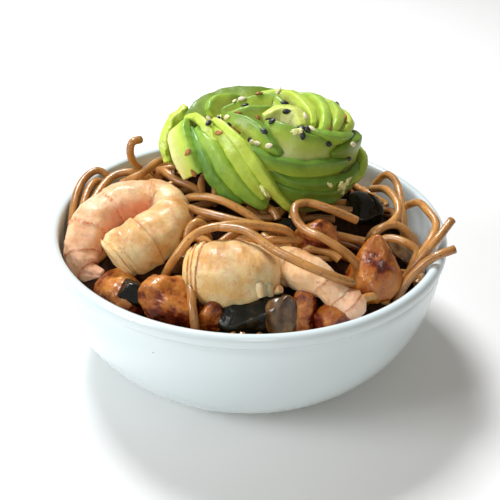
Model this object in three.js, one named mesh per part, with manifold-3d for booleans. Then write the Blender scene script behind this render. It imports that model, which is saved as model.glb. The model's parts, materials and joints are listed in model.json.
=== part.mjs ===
// A white glazed bowl of brown noodles with shrimps, fried chicken, aubergine and onion, under a sliced
// avocado that is curled into a rose and sprinkled with sesame. Millimetres, +Z up. The origin is the middle
// of the bowl's foot, and the front, where the shrimps lie, faces -Y.

import * as THREE from 'three';
import { mergeVertices } from 'three/addons/utils/BufferGeometryUtils.js';
import Module from 'manifold-3d';

const wasm = await Module();
wasm.setup();

// ---------------------------------------------------------------- driving dimensions

const GAP = 0.3; // clearance between neighbouring pieces

const BOWL = {
	rim: 75, // outer radius over the rounded lip
	height: 54,
	foot: 37, // radius of the flat foot
	wall: 4,
	floor: 5, // thickness under the food
	lip: 5, // height of the lip, down to the soft groove under it
	proud: 0.9, // how far the lip stands out over the wall below it
	round: 2.05, // exponent of the belly's superellipse
	sides: 40,
};

// The heap is highest in the middle, with a mound under the rose and a hollow along the front wall. Its
// solid inside stays `sink` below the strands.
const HEAP = {
	edge: 42, rise: 15.5, radius: 70, fall: 2.4, tiltX: -0.03, tiltY: 0.01, sink: 4,
	mound: { x: -8, y: 34, height: 8, spread: 28 },
	hollow: { from: -26, to: -46, depth: 9 },
};

const NOODLE = { diameter: 3.1, sides: 5, step: 7, root: 3 };

// The rose fills a dome: its centre, its half width, half depth and height, and how square it is in plan and
// in profile.
const ROSE = { x: 6, y: 24, z: 59, halfWidth: 42, halfDepth: 32, height: 35, plan: 3, profile: 2.8 };

const SESAME = { length: 3.4, width: 2.1, thickness: 1.2 };

const COLOURS = {
	glaze: '#eef1f0', noodle: '#a8713f', shrimp: '#e6bb8c', chicken: '#b8682e', aubergine: '#2e2c22',
	onion: '#b9a584', avocado: '#8fb53f',
};

// ---------------------------------------------------------------- what lies where

// Noodles that show as single strands: the points that each one passes through. Those that lie over other
// pieces keep their whole length, and the pieces under them give way.
const STRANDS = [
	// Back left: the hook that stands up, and the loops along the rim.
	[[-43, 26, 74], [-46, 23, 74], [-47, 23, 69], [-45, 25, 63], [-40, 28, 57]],
	[[-67, -4, 44], [-68, 9, 53], [-66, 21, 58], [-61, 26, 60], [-56, 26, 57]],
	[[-63, -4, 46], [-64, 8, 54], [-61, 20, 58], [-57, 22, 56]],
	[[-62, -2, 52], [-59, 11, 57], [-54, 21, 60], [-48, 23, 61], [-40, 24, 58]],
	[[-50, 15, 60], [-43, 17, 63], [-35, 31, 63], [-30, 38, 58]],
	[[-35, 21, 63], [-28, 13, 63], [-20, 9, 61]],
	[[-18, 8, 58], [-18, 10, 65], [-16, 10, 67], [-13, 8, 65], [-13, 5, 58]],
	// Front: long strands from the left shrimp to the middle, and round the front one.
	[[-24, 1, 61], [-14, -4, 65], [-3, -9, 63], [8, -13, 56]],
	[[-25, -4, 60], [-16, -12, 63], [-3, -18, 63], [9, -19, 61], [16, -19, 56]],
	[[-30, -30, 45], [-25, -32, 56], [-18, -29, 64], [-8, -27, 66.5], [4, -24, 65], [15, -20, 60]],
	[[-11, -27, 66], [-1, -31, 67], [9, -38, 64], [17, -43, 62.5], [26, -46, 60], [36, -44, 55]],
	[[-25, -34, 48], [-22, -39, 51], [-19, -44, 51], [-18, -50, 48], [-17, -53, 43]],
	[[-31, -38, 50], [-35, -27, 42]],
	[[-8, -18, 55], [5, -22, 58], [14, -22, 58], [24, -14, 53]],
	[[-22, -22, 54], [-21, -19, 60], [-18, -17, 62], [-15, -16, 57]],
	// Right: the ring over the chicken, the loops at the wall and the two ends that hang over the rim.
	[[40, -10, 60], [30, -11, 65], [21, -10, 67], [17, -13, 67], [17, -18, 65], [20, -22, 63], [27, -27, 62],
		[38, -29, 54]],
	[[50, 27, 54], [54, 17, 59], [57, 7, 59], [57, 1, 57], [54, -1, 54], [48, -1, 50]],
	[[52, 35, 52], [56, 34, 57], [59, 27, 58], [60, 18, 56], [61, 7, 48]],
	[[61, 15, 52], [65, 7, 59], [67, -3, 61], [69, -11, 60], [66, -19, 58], [62, -23, 53], [57, -26, 44]],
	[[56, -27, 44], [61, -25, 52], [67, -22, 59], [73.5, -15, 64]],
	[[55, -32, 44], [61, -29, 52], [66, -29, 57], [73, -27, 59]],
	[[45, -14, 50], [51, -14, 55], [57, -18, 56], [61, -21, 54], [60, -24, 51], [56, -27, 42]],
	[[49, -5, 53], [56, -2, 54], [61, -3, 51], [65, -3, 43]],
	[[28, -52, 43], [32, -51, 47], [38, -45, 48], [45, -37, 45], [51, -31, 38]],
];

// Strands that fill the rest of the heap follow a rule: arcs of mixed size, laid round in golden-angle steps,
// but only where they are clear of the pieces and of each other.
const FILL = {
	tries: 260, seed: 21, inner: 8, outer: 66, smallest: 9, largest: 24, lift: 2.5, bury: 5, margin: 7,
};

// A shrimp's body runs along its middle line: x, y, z and the radius there. Each tight curl is two runs.
const SHRIMPS = {
	shrimp_left: [
		[[-47, -25, 49, 8.4], [-44, -23, 51, 10.2], [-37, -20, 54, 10.4], [-30, -13, 57, 9.4], [-28, -4, 58, 8]],
		[[-28, -5, 58, 7], [-33, 3, 59, 7.8], [-44, 2, 59, 8], [-54, -3, 56, 8.2], [-59.5, -11, 51, 8],
			[-60, -18, 46, 6.8], [-58, -23, 43, 4.6], [-52, -25, 43, 2.4]],
	],
	shrimp_front: [
		[[-20, -33, 51, 8.5], [-15, -34, 51.5, 11.4], [-7, -36, 52, 12.4], [2, -35, 51.5, 11.8],
			[8, -32.5, 50, 8.8], [11.5, -31.5, 49, 4.5]],
	],
	shrimp_right: [
		[[8, -27, 51, 5], [15, -32, 53, 7], [22, -38, 54, 7], [28, -43, 52.5, 5.4], [32, -45.5, 50, 5],
			[35.5, -47, 47.5, 6], [38, -48, 44.5, 3.6]],
	],
};

// Lumps: middle, half sizes, tilt about X and Y and turn about Z in degrees, how square the lump is, how
// rough, and how much narrower at the top. Flat faces like a knife's are cut off each at random.
const LUMPS = {
	chicken_front: {
		at: [-27, -45, 46], half: [12.5, 9, 9.5],
		turn: [10, 0, -12], square: 2.6, rough: 0.05, seed: 3, taper: 0.2,
	},
	chicken_left: {
		at: [-43, -35, 42], half: [13, 8, 7.5],
		turn: [0, 8, -38], square: 3, rough: 0.04, seed: 5, taper: 0.1,
	},
	chicken_small: {
		at: [-13, -46, 41], half: [4.5, 5, 6.5],
		turn: [0, 10, 20], square: 3, rough: 0.08, seed: 7,
	},
	chicken_middle: {
		at: [20, -46.5, 43], half: [5.5, 6, 9.5],
		turn: [-8, 4, 10], square: 3.4, rough: 0.04, seed: 9, taper: 0.2,
	},
	chicken_bumpy: {
		at: [31, -49, 42], half: [7.5, 6, 7],
		turn: [0, -10, 28], square: 2.6, rough: 0.07, seed: 11,
	},
	chicken_right: {
		at: [45.5, -28, 50], half: [16, 12, 14.5],
		turn: [-4, 0, 24], square: 2.6, rough: 0.04, seed: 13, taper: 0.82,
	},
	chicken_centre: {
		at: [25, -16, 54.5], half: [11.5, 8.5, 9.5],
		turn: [4, 6, -14], square: 2.8, rough: 0.04, seed: 15, taper: 0.45,
	},
	chicken_back: {
		at: [-18, 60, 46], half: [10, 8, 8],
		turn: [6, 0, 40], square: 2.7, rough: 0.05, seed: 17, taper: 0.2,
	},
	chicken_rear: {
		at: [38, 51, 47], half: [9, 7, 8],
		turn: [0, 12, -30], square: 2.8, rough: 0.05, seed: 19, taper: 0.3,
	},
	aubergine_half: {
		at: [2.5, -45.5, 40.5], half: [16, 8, 8],
		turn: [14, -8, 4], square: 3.2, rough: 0.02, seed: 21,
	},
	aubergine_skin: {
		at: [-37, -43, 47], half: [8, 3, 4.5],
		turn: [-20, 6, -16], square: 6, rough: 0.02, seed: 23,
	},
	aubergine_small: {
		at: [14, -10, 56], half: [6, 4, 3.5],
		turn: [0, 6, 20], square: 3, rough: 0.03, seed: 25,
	},
	aubergine_right: {
		at: [47, 18, 49], half: [7, 9, 5],
		turn: [0, 10, 10], square: 3, rough: 0.04, seed: 27,
	},
	aubergine_back: {
		at: [9, 62, 46], half: [10, 4.5, 6],
		turn: [10, 0, 4], square: 3.4, rough: 0.03, seed: 29,
	},
	onion_front: {
		at: [12, -49.5, 45], half: [7, 5, 8.5],
		turn: [-6, 0, 8], square: 2.6, rough: 0.04, seed: 31, taper: 0.3,
	},
	onion_strip: {
		at: [56, -9, 48], half: [7, 4.5, 2.2],
		turn: [-24, 22, -38], square: 3.6, rough: 0.04, seed: 33,
	},
	onion_left: {
		at: [-24, -29, 50], half: [3, 2, 7.5],
		turn: [12, 34, 10], square: 3, rough: 0.04, seed: 35,
	},
};

const CUTS = { count: 9, near: 0.72, far: 0.98 };

// Avocado slices. The middle of each one's skin edge runs through points on the rose's dome, given as
// azimuth and elevation in degrees (-90 is the front). `deep` is the slice from skin to stone, `lean` swings
// the stone edge outwards, so that more of the cut face shows, and `taper` is what is left of `deep` at the
// ends, which dip by up to `tuck` under the neighbours.
const SLICES = {
	// The bud and the petals in front of it.
	bud: {
		edge: [[-150, 76], [-128, 74], [-105, 71], [-90, 60], [-84, 47], [-79, 37]],
		deep: 13, lean: 34, thick: 5.4, taper: 0.3,
	},
	petal: { edge: [[-91, 75], [-77, 69], [-65, 60], [-53, 50], [-33, 39]], deep: 20, lean: 54 },
	ledge: { edge: [[-61, 61], [-47, 51], [-32, 43], [-12, 38]], deep: 13, lean: 14 },
	inner: { edge: [[-97, 80], [-56, 83], [-46, 75], [-56, 63]], deep: 14, lean: 10, thick: 6 },
	// The strips that run down over the front.
	lime: {
		edge: [[-140, 61], [-120, 53], [-107, 44], [-97, 30], [-90, 17], [-83, 7], [-75, 1]],
		deep: 10, lean: -8, lift: 1, thick: 4.6, taper: 0.5,
	},
	knob: {
		edge: [[-172, 46], [-160, 54], [-145, 54], [-132, 48], [-123, 42]],
		deep: 9, lean: -10, lift: 0.2, thick: 4, taper: 0.4,
	},
	strip_1: {
		edge: [[-138, 58], [-123, 49], [-112, 38], [-104, 26], [-97, 14], [-91, 5]],
		deep: 12, lean: -16, thick: 6.6, taper: 0.5,
	},
	strip_2: {
		edge: [[-150, 50], [-137, 42], [-126, 35], [-115, 22], [-106, 13], [-98, 5], [-90, 1]],
		deep: 13, lean: -16, thick: 7, taper: 0.5,
	},
	strip_3: {
		edge: [[-158, 45], [-137, 34], [-126, 22], [-118, 12], [-110, 5], [-103, 2]],
		deep: 13, lean: -16, thick: 6.4, taper: 0.5,
	},
	block: {
		edge: [[-163, 50], [-150, 43], [-139, 34], [-131, 25], [-126, 17]],
		deep: 11, lean: 74, lift: 1.8, thick: 5, taper: 0.95,
	},
	side: {
		edge: [[170, 50], [178, 43], [-174, 34], [-165, 24], [-157, 13]],
		deep: 13, lean: 26, lift: 2.4, thick: 5, taper: 0.7,
	},
	// The ribbons that wrap the front right.
	shoulder: { edge: [[-46, 31], [-30, 35], [-8, 33], [16, 30]], deep: 15, lean: 46 },
	wrap_1: { edge: [[-111, 54], [-99, 43], [-88, 36], [-72, 30], [-53, 27], [-32, 23]], deep: 15, lean: 50 },
	wrap_2: { edge: [[-92, 29], [-80, 20], [-72, 17], [-56, 14], [-35, 12], [-14, 13]], deep: 14, lean: 55 },
	wrap_3: { edge: [[-87, 17], [-77, 13], [-67, 10], [-48, 7], [-26, 6]], deep: 12, lean: 58 },
	wrap_4: { edge: [[-79, 5], [-64, 4], [-44, 2]], deep: 9, lean: 40 },
	fringe: { edge: [[-36, 7], [-21, 10], [-4, 14], [16, 19]], deep: 11, lean: 40 },
	// The nested arcs at the top right, from the outside in.
	arc_1: { edge: [[58, 42], [34, 40], [4, 42], [-22, 42]], deep: 14, lean: 14, thick: 5 },
	arc_2: { edge: [[64, 54], [34, 54], [8, 55], [-19, 53], [-34, 48]], deep: 14, lean: 6, thick: 5 },
	arc_3: {
		edge: [[80, 64], [46, 66], [20, 68], [-14, 65], [-34, 58], [-44, 53]],
		deep: 14, lean: 2, thick: 5,
	},
	arc_4: { edge: [[96, 72], [60, 77], [18, 80], [-28, 72], [-44, 62]], deep: 12, lean: 0, thick: 4.4 },
	// The arches over the left and the back.
	arch_1: {
		edge: [[-174, 44], [174, 53], [156, 58], [128, 62], [100, 65], [76, 60]],
		deep: 17, lean: 40, lift: 0.8, taper: 0.4,
	},
	arch_2: { edge: [[-172, 64], [160, 68], [128, 74]], deep: 13, lean: 20 },
	arch_3: { edge: [[-165, 73], [160, 85], [60, 86], [-20, 84]], deep: 13, lean: 36 },
	heart: { edge: [[-140, 71], [-128, 80], [-100, 85], [-60, 87]], deep: 12, lean: 20 },
	// The turned-down rows behind, each a little lower than the last.
	rear_1: { edge: [[148, 46], [118, 50], [88, 50], [54, 46]], deep: 15, lean: -52 },
	rear_2: { edge: [[166, 36], [136, 36], [104, 36], [70, 34], [44, 32]], deep: 15, lean: -55 },
	rear_3: { edge: [[152, 23], [122, 22], [90, 22], [58, 21], [30, 24]], deep: 14, lean: -58 },
	rear_4: { edge: [[168, 22], [140, 12], [108, 10], [76, 10], [46, 11]], deep: 12, lean: -58 },
	rear_5: { edge: [[138, 2], [108, 1], [76, 1], [44, 3], [20, 7]], deep: 9, lean: -45 },
};
const SLICE = { thickness: 4.2, step: 10, taper: 0.25, tuck: 3 };

// Black sesame where it stands out, as x and y; the pale and the toasted seeds are strewn by a rule.
const BLACK = [
	[-7, 34], [4, 38], [14, 29], [-3, 27], [-9, 27], [-13, 27], [8, 23], [9, 18], [-14, 14], [6, 7], [19, 6],
	[18, 14], [21, 11], [27, 1], [37, -2], [-9, 14], [1, 5], [30, 28],
];
const STREWN = { count: 18, seed: 8, reach: 0.8 };

// ---------------------------------------------------------------- shared helpers

const radians = THREE.MathUtils.degToRad;
const point = (p) => new THREE.Vector3(p[0], p[1], p[2]);

// A generator of numbers from 0 to 1 that gives the same row for the same seed.
function draw(seed) {
	let state = seed;
	return () => {
		state = (state * 1664525 + 1013904223) % 4294967296;
		return state / 4294967296;
	};
}

// A closed geometry as a solid, with its faces turned outwards.
function solid(geometry) {
	const bare = geometry.clone();
	for (const name of Object.keys(bare.attributes)) if (name !== 'position') bare.deleteAttribute(name);
	const merged = mergeVertices(bare, 1e-4);
	const corners = new Uint32Array(merged.index.array);
	const build = () => new wasm.Manifold(new wasm.Mesh({
		numProp: 3, vertProperties: new Float32Array(merged.attributes.position.array), triVerts: corners,
	}));
	const made = build();
	if (made.volume() > 0) return made;
	corners.reverse();
	return build();
}

// A solid as a named mesh.
function mesh(name, shape, colour, roughness) {
	const { numProp, vertProperties, triVerts } = shape.getMesh();
	const positions = new Float32Array((vertProperties.length / numProp) * 3);
	for (let i = 0; i < positions.length / 3; i++) {
		for (let k = 0; k < 3; k++) positions[i * 3 + k] = vertProperties[i * numProp + k];
	}
	const geometry = new THREE.BufferGeometry();
	geometry.setAttribute('position', new THREE.BufferAttribute(positions, 3));
	geometry.setIndex(new THREE.BufferAttribute(new Uint32Array(triVerts), 1));
	geometry.computeVertexNormals();
	const made = new THREE.Mesh(geometry, new THREE.MeshStandardMaterial({ color: colour, roughness }));
	made.name = name;
	return made;
}

// The biggest body of a solid that a cut may have split.
function biggest(shape) {
	return shape.decompose().reduce((a, b) => (b.volume() > a.volume() ? b : a));
}

function meets(a, b) {
	const p = a.boundingBox(), q = b.boundingBox();
	return [0, 1, 2].every((k) => p.min[k] < q.max[k] && q.min[k] < p.max[k]);
}

// `shape` without every one of `others` that it meets.
function without(shape, others) {
	return others.reduce((rest, other) => (meets(rest, other) ? rest.subtract(other) : rest), shape);
}

// A cylinder bent along a curve. `section(t)` gives, at t from 0 to 1, the middle, the two directions across
// and the half sizes along them.
function sweep(sides, steps, section) {
	const square = sides === 4;
	const geometry = new THREE.CylinderGeometry(1, 1, 1, sides, steps, false, square ? Math.PI / 4 : 0);
	if (square) geometry.scale(Math.SQRT2, 1, Math.SQRT2);
	const position = geometry.attributes.position;
	const rings = Array.from({ length: steps + 1 }, (_, i) => section(i / steps));
	const p = new THREE.Vector3();
	for (let i = 0; i < position.count; i++) {
		const ring = rings[Math.round((position.getY(i) + 0.5) * steps)];
		p.copy(ring.middle)
			.addScaledVector(ring.across, position.getX(i) * ring.halfAcross)
			.addScaledVector(ring.along, position.getZ(i) * ring.halfAlong);
		position.setXYZ(i, p.x, p.y, p.z);
	}
	return geometry;
}

// ---------------------------------------------------------------- bowl

// The belly's radius and height as the angle goes from 0 at the foot to a right angle at the top.
function belly(angle, inner, outer, low, high) {
	const power = 2 / BOWL.round;
	return new THREE.Vector2(
		inner + (outer - inner) * Math.sin(angle) ** power,
		low + (high - low) * (1 - Math.cos(angle) ** power),
	);
}

// The bowl, or the room it takes with `grow` of clearance inside.
function bowlSolid(grow = 0) {
	const { rim, height, foot, wall, floor, lip, proud, sides } = BOWL;
	const quarter = Math.PI / 2, inside = rim - wall;
	const outline = [new THREE.Vector2(0, 0)];
	for (let i = 0; i <= 6; i++) outline.push(belly((quarter * i) / 6, foot, rim - proud, 0, height - lip));
	outline.push(new THREE.Vector2(rim - 0.15, height - lip + 0.9), new THREE.Vector2(rim, height - 2));
	outline.push(new THREE.Vector2(rim - 0.8, height - 0.5 + grow), new THREE.Vector2(rim - 2, height + grow));
	outline.push(new THREE.Vector2(inside + 0.6 - grow, height - 0.6 + grow));
	for (let i = 4; i >= 0; i--) {
		outline.push(belly((quarter * i) / 4, foot - wall, inside - grow, floor + grow, height - 2));
	}
	outline.push(new THREE.Vector2(0, floor + grow));
	return solid(new THREE.LatheGeometry(outline, sides).rotateX(Math.PI / 2));
}

// ---------------------------------------------------------------- noodles

// Height of the heap's surface.
function heapTop(x, y) {
	const { edge, rise, radius, fall, tiltX, tiltY, mound, hollow } = HEAP;
	const out = Math.min(Math.hypot(x, y) / radius, 1);
	const near = Math.exp(-((x - mound.x) ** 2 + (y - mound.y) ** 2) / (2 * mound.spread ** 2));
	const front = THREE.MathUtils.smoothstep(-y, -hollow.from, -hollow.to) * (1 - out ** 4);
	return edge + rise * (1 - out ** fall) + tiltX * x + tiltY * y + mound.height * near - hollow.depth * front;
}

// The dark inside of the heap, which fills the bowl to a little under the strands.
function core(grow = 0) {
	const { rim, wall, foot, floor, height, sides } = BOWL, rings = 4;
	const outline = [new THREE.Vector2(0, floor + GAP)];
	for (const i of [0, 1, 2, 3]) {
		outline.push(belly((Math.PI / 8) * i, foot - wall - 1, rim - wall - GAP - 0.2, floor + GAP, height - 2));
	}
	const walls = outline.length, edge = outline.at(-1).x;
	for (let i = rings; i >= 0; i--) outline.push(new THREE.Vector2((edge * i) / rings, height - i));
	const geometry = new THREE.LatheGeometry(outline, sides / 2).rotateX(Math.PI / 2);
	const position = geometry.attributes.position;
	for (let i = 0; i < position.count; i++) {
		if (i % outline.length < walls) continue;
		const x = position.getX(i), y = position.getY(i);
		position.setZ(i, heapTop(x, y) - HEAP.sink + grow);
	}
	return solid(geometry);
}

// One noodle through its points; `grow` is the clearance round it.
function strand(points, grow = 0, sides = NOODLE.sides, step = NOODLE.step) {
	const path = new THREE.CatmullRomCurve3(points.map(point), false, 'centripetal');
	const steps = Math.max(3, Math.round(path.getLength() / step));
	const radius = NOODLE.diameter / 2 + grow;
	const section = new THREE.Shape(Array.from({ length: sides }, (_, i) => {
		const angle = (i / sides) * 2 * Math.PI;
		return new THREE.Vector2(radius * Math.cos(angle), radius * Math.sin(angle));
	}));
	return solid(new THREE.ExtrudeGeometry(section, { steps, extrudePath: path, bevelEnabled: false }));
}

// A strand's points with a root at each end that comes near the heap, which runs down into the solid inside.
function rooted(points) {
	const root = (end, before) => {
		const top = heapTop(end[0], end[1]);
		if (end[2] > top + 5) return [];
		const run = Math.hypot(end[0] - before[0], end[1] - before[1], end[2] - before[2]);
		const on = [0, 1].map((k) => end[k] + ((end[k] - before[k]) / run) * NOODLE.root);
		const bottom = Math.min(end[2] - NOODLE.root, top - HEAP.sink - NOODLE.root);
		const inside = Math.min(1, (BOWL.rim - BOWL.wall - 7) / Math.hypot(...on));
		return [[on[0] * inside, on[1] * inside, bottom]];
	};
	return [...root(points[0], points[1]), ...points, ...root(points.at(-1), points.at(-2))];
}

// The points of each strand that may fill the heap: an arc out of the solid inside and back into it.
function fillStrands() {
	const random = draw(FILL.seed), strands = [];
	for (let i = 0; i < FILL.tries; i++) {
		const around = i * Math.PI * (3 - Math.sqrt(5));
		const out = FILL.inner + (FILL.outer - FILL.inner) * Math.sqrt((i + 0.5) / FILL.tries);
		const size = FILL.smallest + (FILL.largest - FILL.smallest) * random();
		const start = 2 * Math.PI * random(), sweepAngle = 1.6 + 1.8 * random(), lift = FILL.lift * random();
		const points = [];
		for (let k = 0; k <= 4; k++) {
			const t = k / 4, angle = start + sweepAngle * t;
			let x = out * Math.cos(around) + size * (Math.cos(angle) - Math.cos(start + sweepAngle / 2));
			let y = out * Math.sin(around) + size * (Math.sin(angle) - Math.sin(start + sweepAngle / 2));
			const limit = BOWL.rim - BOWL.wall - FILL.margin, far = Math.hypot(x, y);
			if (far > limit) [x, y] = [(x * limit) / far, (y * limit) / far];
			const end = k === 0 || k === 4 ? FILL.bury : 0;
			points.push([x, y, heapTop(x, y) - 1 + lift * Math.sin(Math.PI * t) - end]);
		}
		strands.push(points);
	}
	return strands;
}

// ---------------------------------------------------------------- shrimps

function shrimpRun(rings, grow) {
	const path = new THREE.CatmullRomCurve3(rings.map(point), false, 'centripetal');
	const steps = (rings.length - 1) * 2;
	const across = new THREE.Vector3(), along = new THREE.Vector3();
	const frames = path.computeFrenetFrames(steps);
	return solid(sweep(7, steps, (t) => {
		const i = Math.round(t * steps), half = i / 2;
		const low = rings[Math.floor(half)][3], high = rings[Math.ceil(half)][3];
		const radius = (low + high) / 2 + grow;
		return {
			middle: path.getPoint(t), across: across.clone().copy(frames.normals[i]),
			along: along.clone().copy(frames.normals[i]).cross(frames.tangents[i]),
			halfAcross: radius, halfAlong: radius,
		};
	}));
}

function shrimp(runs, grow = 0) {
	return runs.map((rings) => shrimpRun(rings, grow)).reduce((a, b) => a.add(b));
}

// ---------------------------------------------------------------- lumps

// The flat faces that are cut off a lump: a direction and how far out the cut runs.
function cuts(random) {
	return Array.from({ length: CUTS.count }, () => {
		const up = 2 * random() - 1, around = 2 * Math.PI * random(), out = Math.sqrt(1 - up * up);
		const far = CUTS.near + (CUTS.far - CUTS.near) * random();
		return { normal: new THREE.Vector3(out * Math.cos(around), out * Math.sin(around), up), far };
	});
}

// A rounded block with a few broad dents and cut faces.
function lump({ at, half, turn, square, rough, seed, taper = 0 }, grow = 0) {
	const geometry = new THREE.IcosahedronGeometry(1, 1);
	const position = geometry.attributes.position, random = draw(seed);
	const waves = Array.from({ length: 4 }, () => [0, 1, 2, 3].map(() => 6 * random() - 3));
	const faces = cuts(random), p = new THREE.Vector3();
	for (let i = 0; i < position.count; i++) {
		p.fromBufferAttribute(position, i).normalize();
		const sum = Math.abs(p.x) ** square + Math.abs(p.y) ** square + Math.abs(p.z) ** square;
		let size = sum ** (-1 / square);
		for (const { normal, far } of faces) if (p.dot(normal) > 0) size = Math.min(size, far / p.dot(normal));
		for (const [a, b, c, d] of waves) size += rough * Math.sin(a * p.x + b * p.y + c * p.z + d);
		p.multiplyScalar(size);
		const narrow = 1 - (taper * (p.z + 1)) / 2;
		position.setXYZ(i, p.x * (half[0] * narrow + grow), p.y * (half[1] * narrow + grow), p.z * (half[2] + grow));
	}
	const placed = new THREE.Matrix4().makeRotationFromEuler(new THREE.Euler(...turn.map(radians), 'ZYX'));
	return solid(geometry.applyMatrix4(placed.setPosition(point(at))));
}

// ---------------------------------------------------------------- avocado rose

// The point of the rose's dome at an azimuth and an elevation, and the direction out of it there.
function onRose(azimuth, elevation, lift = 0) {
	const a = radians(azimuth), e = radians(elevation);
	const out = Math.cos(e) ** (2 / ROSE.plan), up = Math.sin(e) ** (2 / ROSE.profile);
	const x = out * Math.cos(a), y = out * Math.sin(a);
	const flat = ROSE.plan * out ** (ROSE.plan - 2);
	const normal = new THREE.Vector3(
		(flat * x) / ROSE.halfWidth, (flat * y) / ROSE.halfDepth,
		(ROSE.profile * up ** (ROSE.profile - 1)) / ROSE.height,
	).normalize();
	const middle = new THREE.Vector3(
		ROSE.x + ROSE.halfWidth * x, ROSE.y + ROSE.halfDepth * y, ROSE.z + ROSE.height * up,
	).addScaledVector(normal, lift);
	return { middle, normal };
}

function slice({ edge, deep, lean, lift = 0, thick = SLICE.thickness, taper = SLICE.taper }, grow = 0) {
	const out = lift - (thick / 2) * Math.sin(Math.abs(radians(lean)));
	const marks = edge.map(([azimuth, elevation]) => onRose(azimuth, elevation, out));
	const path = new THREE.CatmullRomCurve3(marks.map((m) => m.middle), false, 'centripetal');
	const normals = new THREE.CatmullRomCurve3(marks.map((m) => m.normal), false, 'catmullrom');
	return solid(sweep(4, Math.max(3, Math.round(path.getLength() / SLICE.step)), (t) => {
		const tangent = path.getTangent(t);
		const along = normals.getPoint(t).negate();
		along.addScaledVector(tangent, -along.dot(tangent)).normalize();
		along.applyAxisAngle(tangent, radians(-lean));
		const across = new THREE.Vector3().crossVectors(tangent, along);
		const bulge = Math.sin(Math.PI * t) ** 0.6;
		const halfDeep = (deep / 2) * (taper + (1 - taper) * bulge);
		const tuck = normals.getPoint(t).setLength(SLICE.tuck * (1 - bulge) * (1 - taper));
		return {
			middle: path.getPoint(t).sub(tuck).addScaledVector(along, halfDeep), across, along,
			halfAcross: (thick / 2) * (0.45 + 0.55 * bulge) + grow, halfAlong: halfDeep + grow,
		};
	}));
}

// A seed lying on the highest surface at x, y.
function seed(x, y, turn, tops) {
	const ray = new THREE.Raycaster(new THREE.Vector3(x, y, 200), new THREE.Vector3(0, 0, -1));
	const hit = ray.intersectObjects(tops)[0];
	if (!hit) return null;
	const geometry = new THREE.SphereGeometry(0.5, 5, 3).scale(SESAME.length, SESAME.width, SESAME.thickness);
	geometry.rotateZ(turn);
	const tip = new THREE.Quaternion().setFromUnitVectors(new THREE.Vector3(0, 0, 1), hit.face.normal);
	geometry.applyQuaternion(tip);
	const lifted = hit.point.clone().addScaledVector(hit.face.normal, SESAME.thickness * 0.2);
	return { on: hit.object.name, shape: solid(geometry.translate(lifted.x, lifted.y, lifted.z)) };
}

// Where the seeds lie: x, y and turn.
function seedPlaces() {
	const random = draw(STREWN.seed);
	const places = BLACK.map(([x, y]) => [x, y, Math.PI * random()]);
	for (let i = 0; i < STREWN.count; i++) {
		const out = STREWN.reach * Math.sqrt(random()), around = 2 * Math.PI * random();
		places.push([
			ROSE.x + ROSE.halfWidth * out * Math.cos(around), ROSE.y + ROSE.halfDepth * out * Math.sin(around),
			Math.PI * random(),
		]);
	}
	return places;
}

// ---------------------------------------------------------------- assembly

const food = new THREE.Group();
const dish = bowlSolid();
const dishRoom = bowlSolid(GAP);
food.add(mesh('bowl', dish, COLOURS.glaze, 0.25));

const coreRoom = core(GAP);
const over = STRANDS.map((points) => strand(rooted(points)));
const overRoom = STRANDS.map((points) => strand(rooted(points), GAP));

// Every piece in the order in which it takes its room: the later ones give way to the earlier, and all of
// them to the heap's inside, the strands and the bowl.
const pieces = [
	...Object.entries(SHRIMPS).map(([name, runs]) => (
		{ name, build: (g) => shrimp(runs, g), colour: 'shrimp' })),
	...Object.entries(LUMPS).map(([name, spec]) => (
		{ name, build: (g) => lump(spec, g), colour: name.split('_')[0] })),
	...Object.entries(SLICES).map(([name, spec]) => (
		{ name: `avocado_${name}`, build: (g) => slice(spec, g), colour: 'avocado' })),
];
const rooms = [];
for (const piece of pieces) {
	piece.shape = biggest(without(piece.build(0), [dishRoom, coreRoom, ...overRoom, ...rooms]));
	rooms.push(piece.build(GAP));
}

// Sesame is part of the slice it lies on.
const slices = pieces.filter((piece) => piece.colour === 'avocado');
const tops = slices.map((piece) => mesh(piece.name, piece.shape, COLOURS.avocado, 0.5));
for (const [x, y, turn] of seedPlaces()) {
	const laid = seed(x, y, turn, tops);
	if (!laid) continue;
	const under = slices.find((piece) => piece.name === laid.on);
	const clear = without(laid.shape, slices.filter((piece) => piece !== under).map((piece) => piece.shape));
	under.shape = biggest(under.shape.add(clear));
}

// The strands of the rule that have room, then all of the heap as one solid.
const taken = [dishRoom, ...rooms, ...over];
for (const points of fillStrands()) {
	const shape = strand(points, 0, 4, 9);
	if (taken.some((other) => meets(shape, other) && !shape.intersect(other).isEmpty())) continue;
	taken.push(shape);
	over.push(shape);
}
const noodles = biggest([core(), ...over].reduce((a, b) => a.add(b)));
food.add(mesh('noodles', noodles, COLOURS.noodle, 0.45));
for (const piece of pieces) food.add(mesh(piece.name, piece.shape, COLOURS[piece.colour], 0.5));

export default food;
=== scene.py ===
"""A white glazed bowl of brown noodles with shrimps, fried chicken, aubergine and onion, under an avocado
that is sliced, curled into a rose and sprinkled with sesame. The frame is in metres and +Z up. Its origin is
the middle of the bowl's foot, and the front faces -Y. Places are listed in millimetres."""

import json
import math

import bmesh
import bpy
import numpy as np
from bpy.props import FloatProperty, FloatVectorProperty, IntProperty, PointerProperty
from mathutils import Euler, Matrix, Vector, noise
from mathutils.bvhtree import BVHTree
from mathutils.kdtree import KDTree

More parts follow.
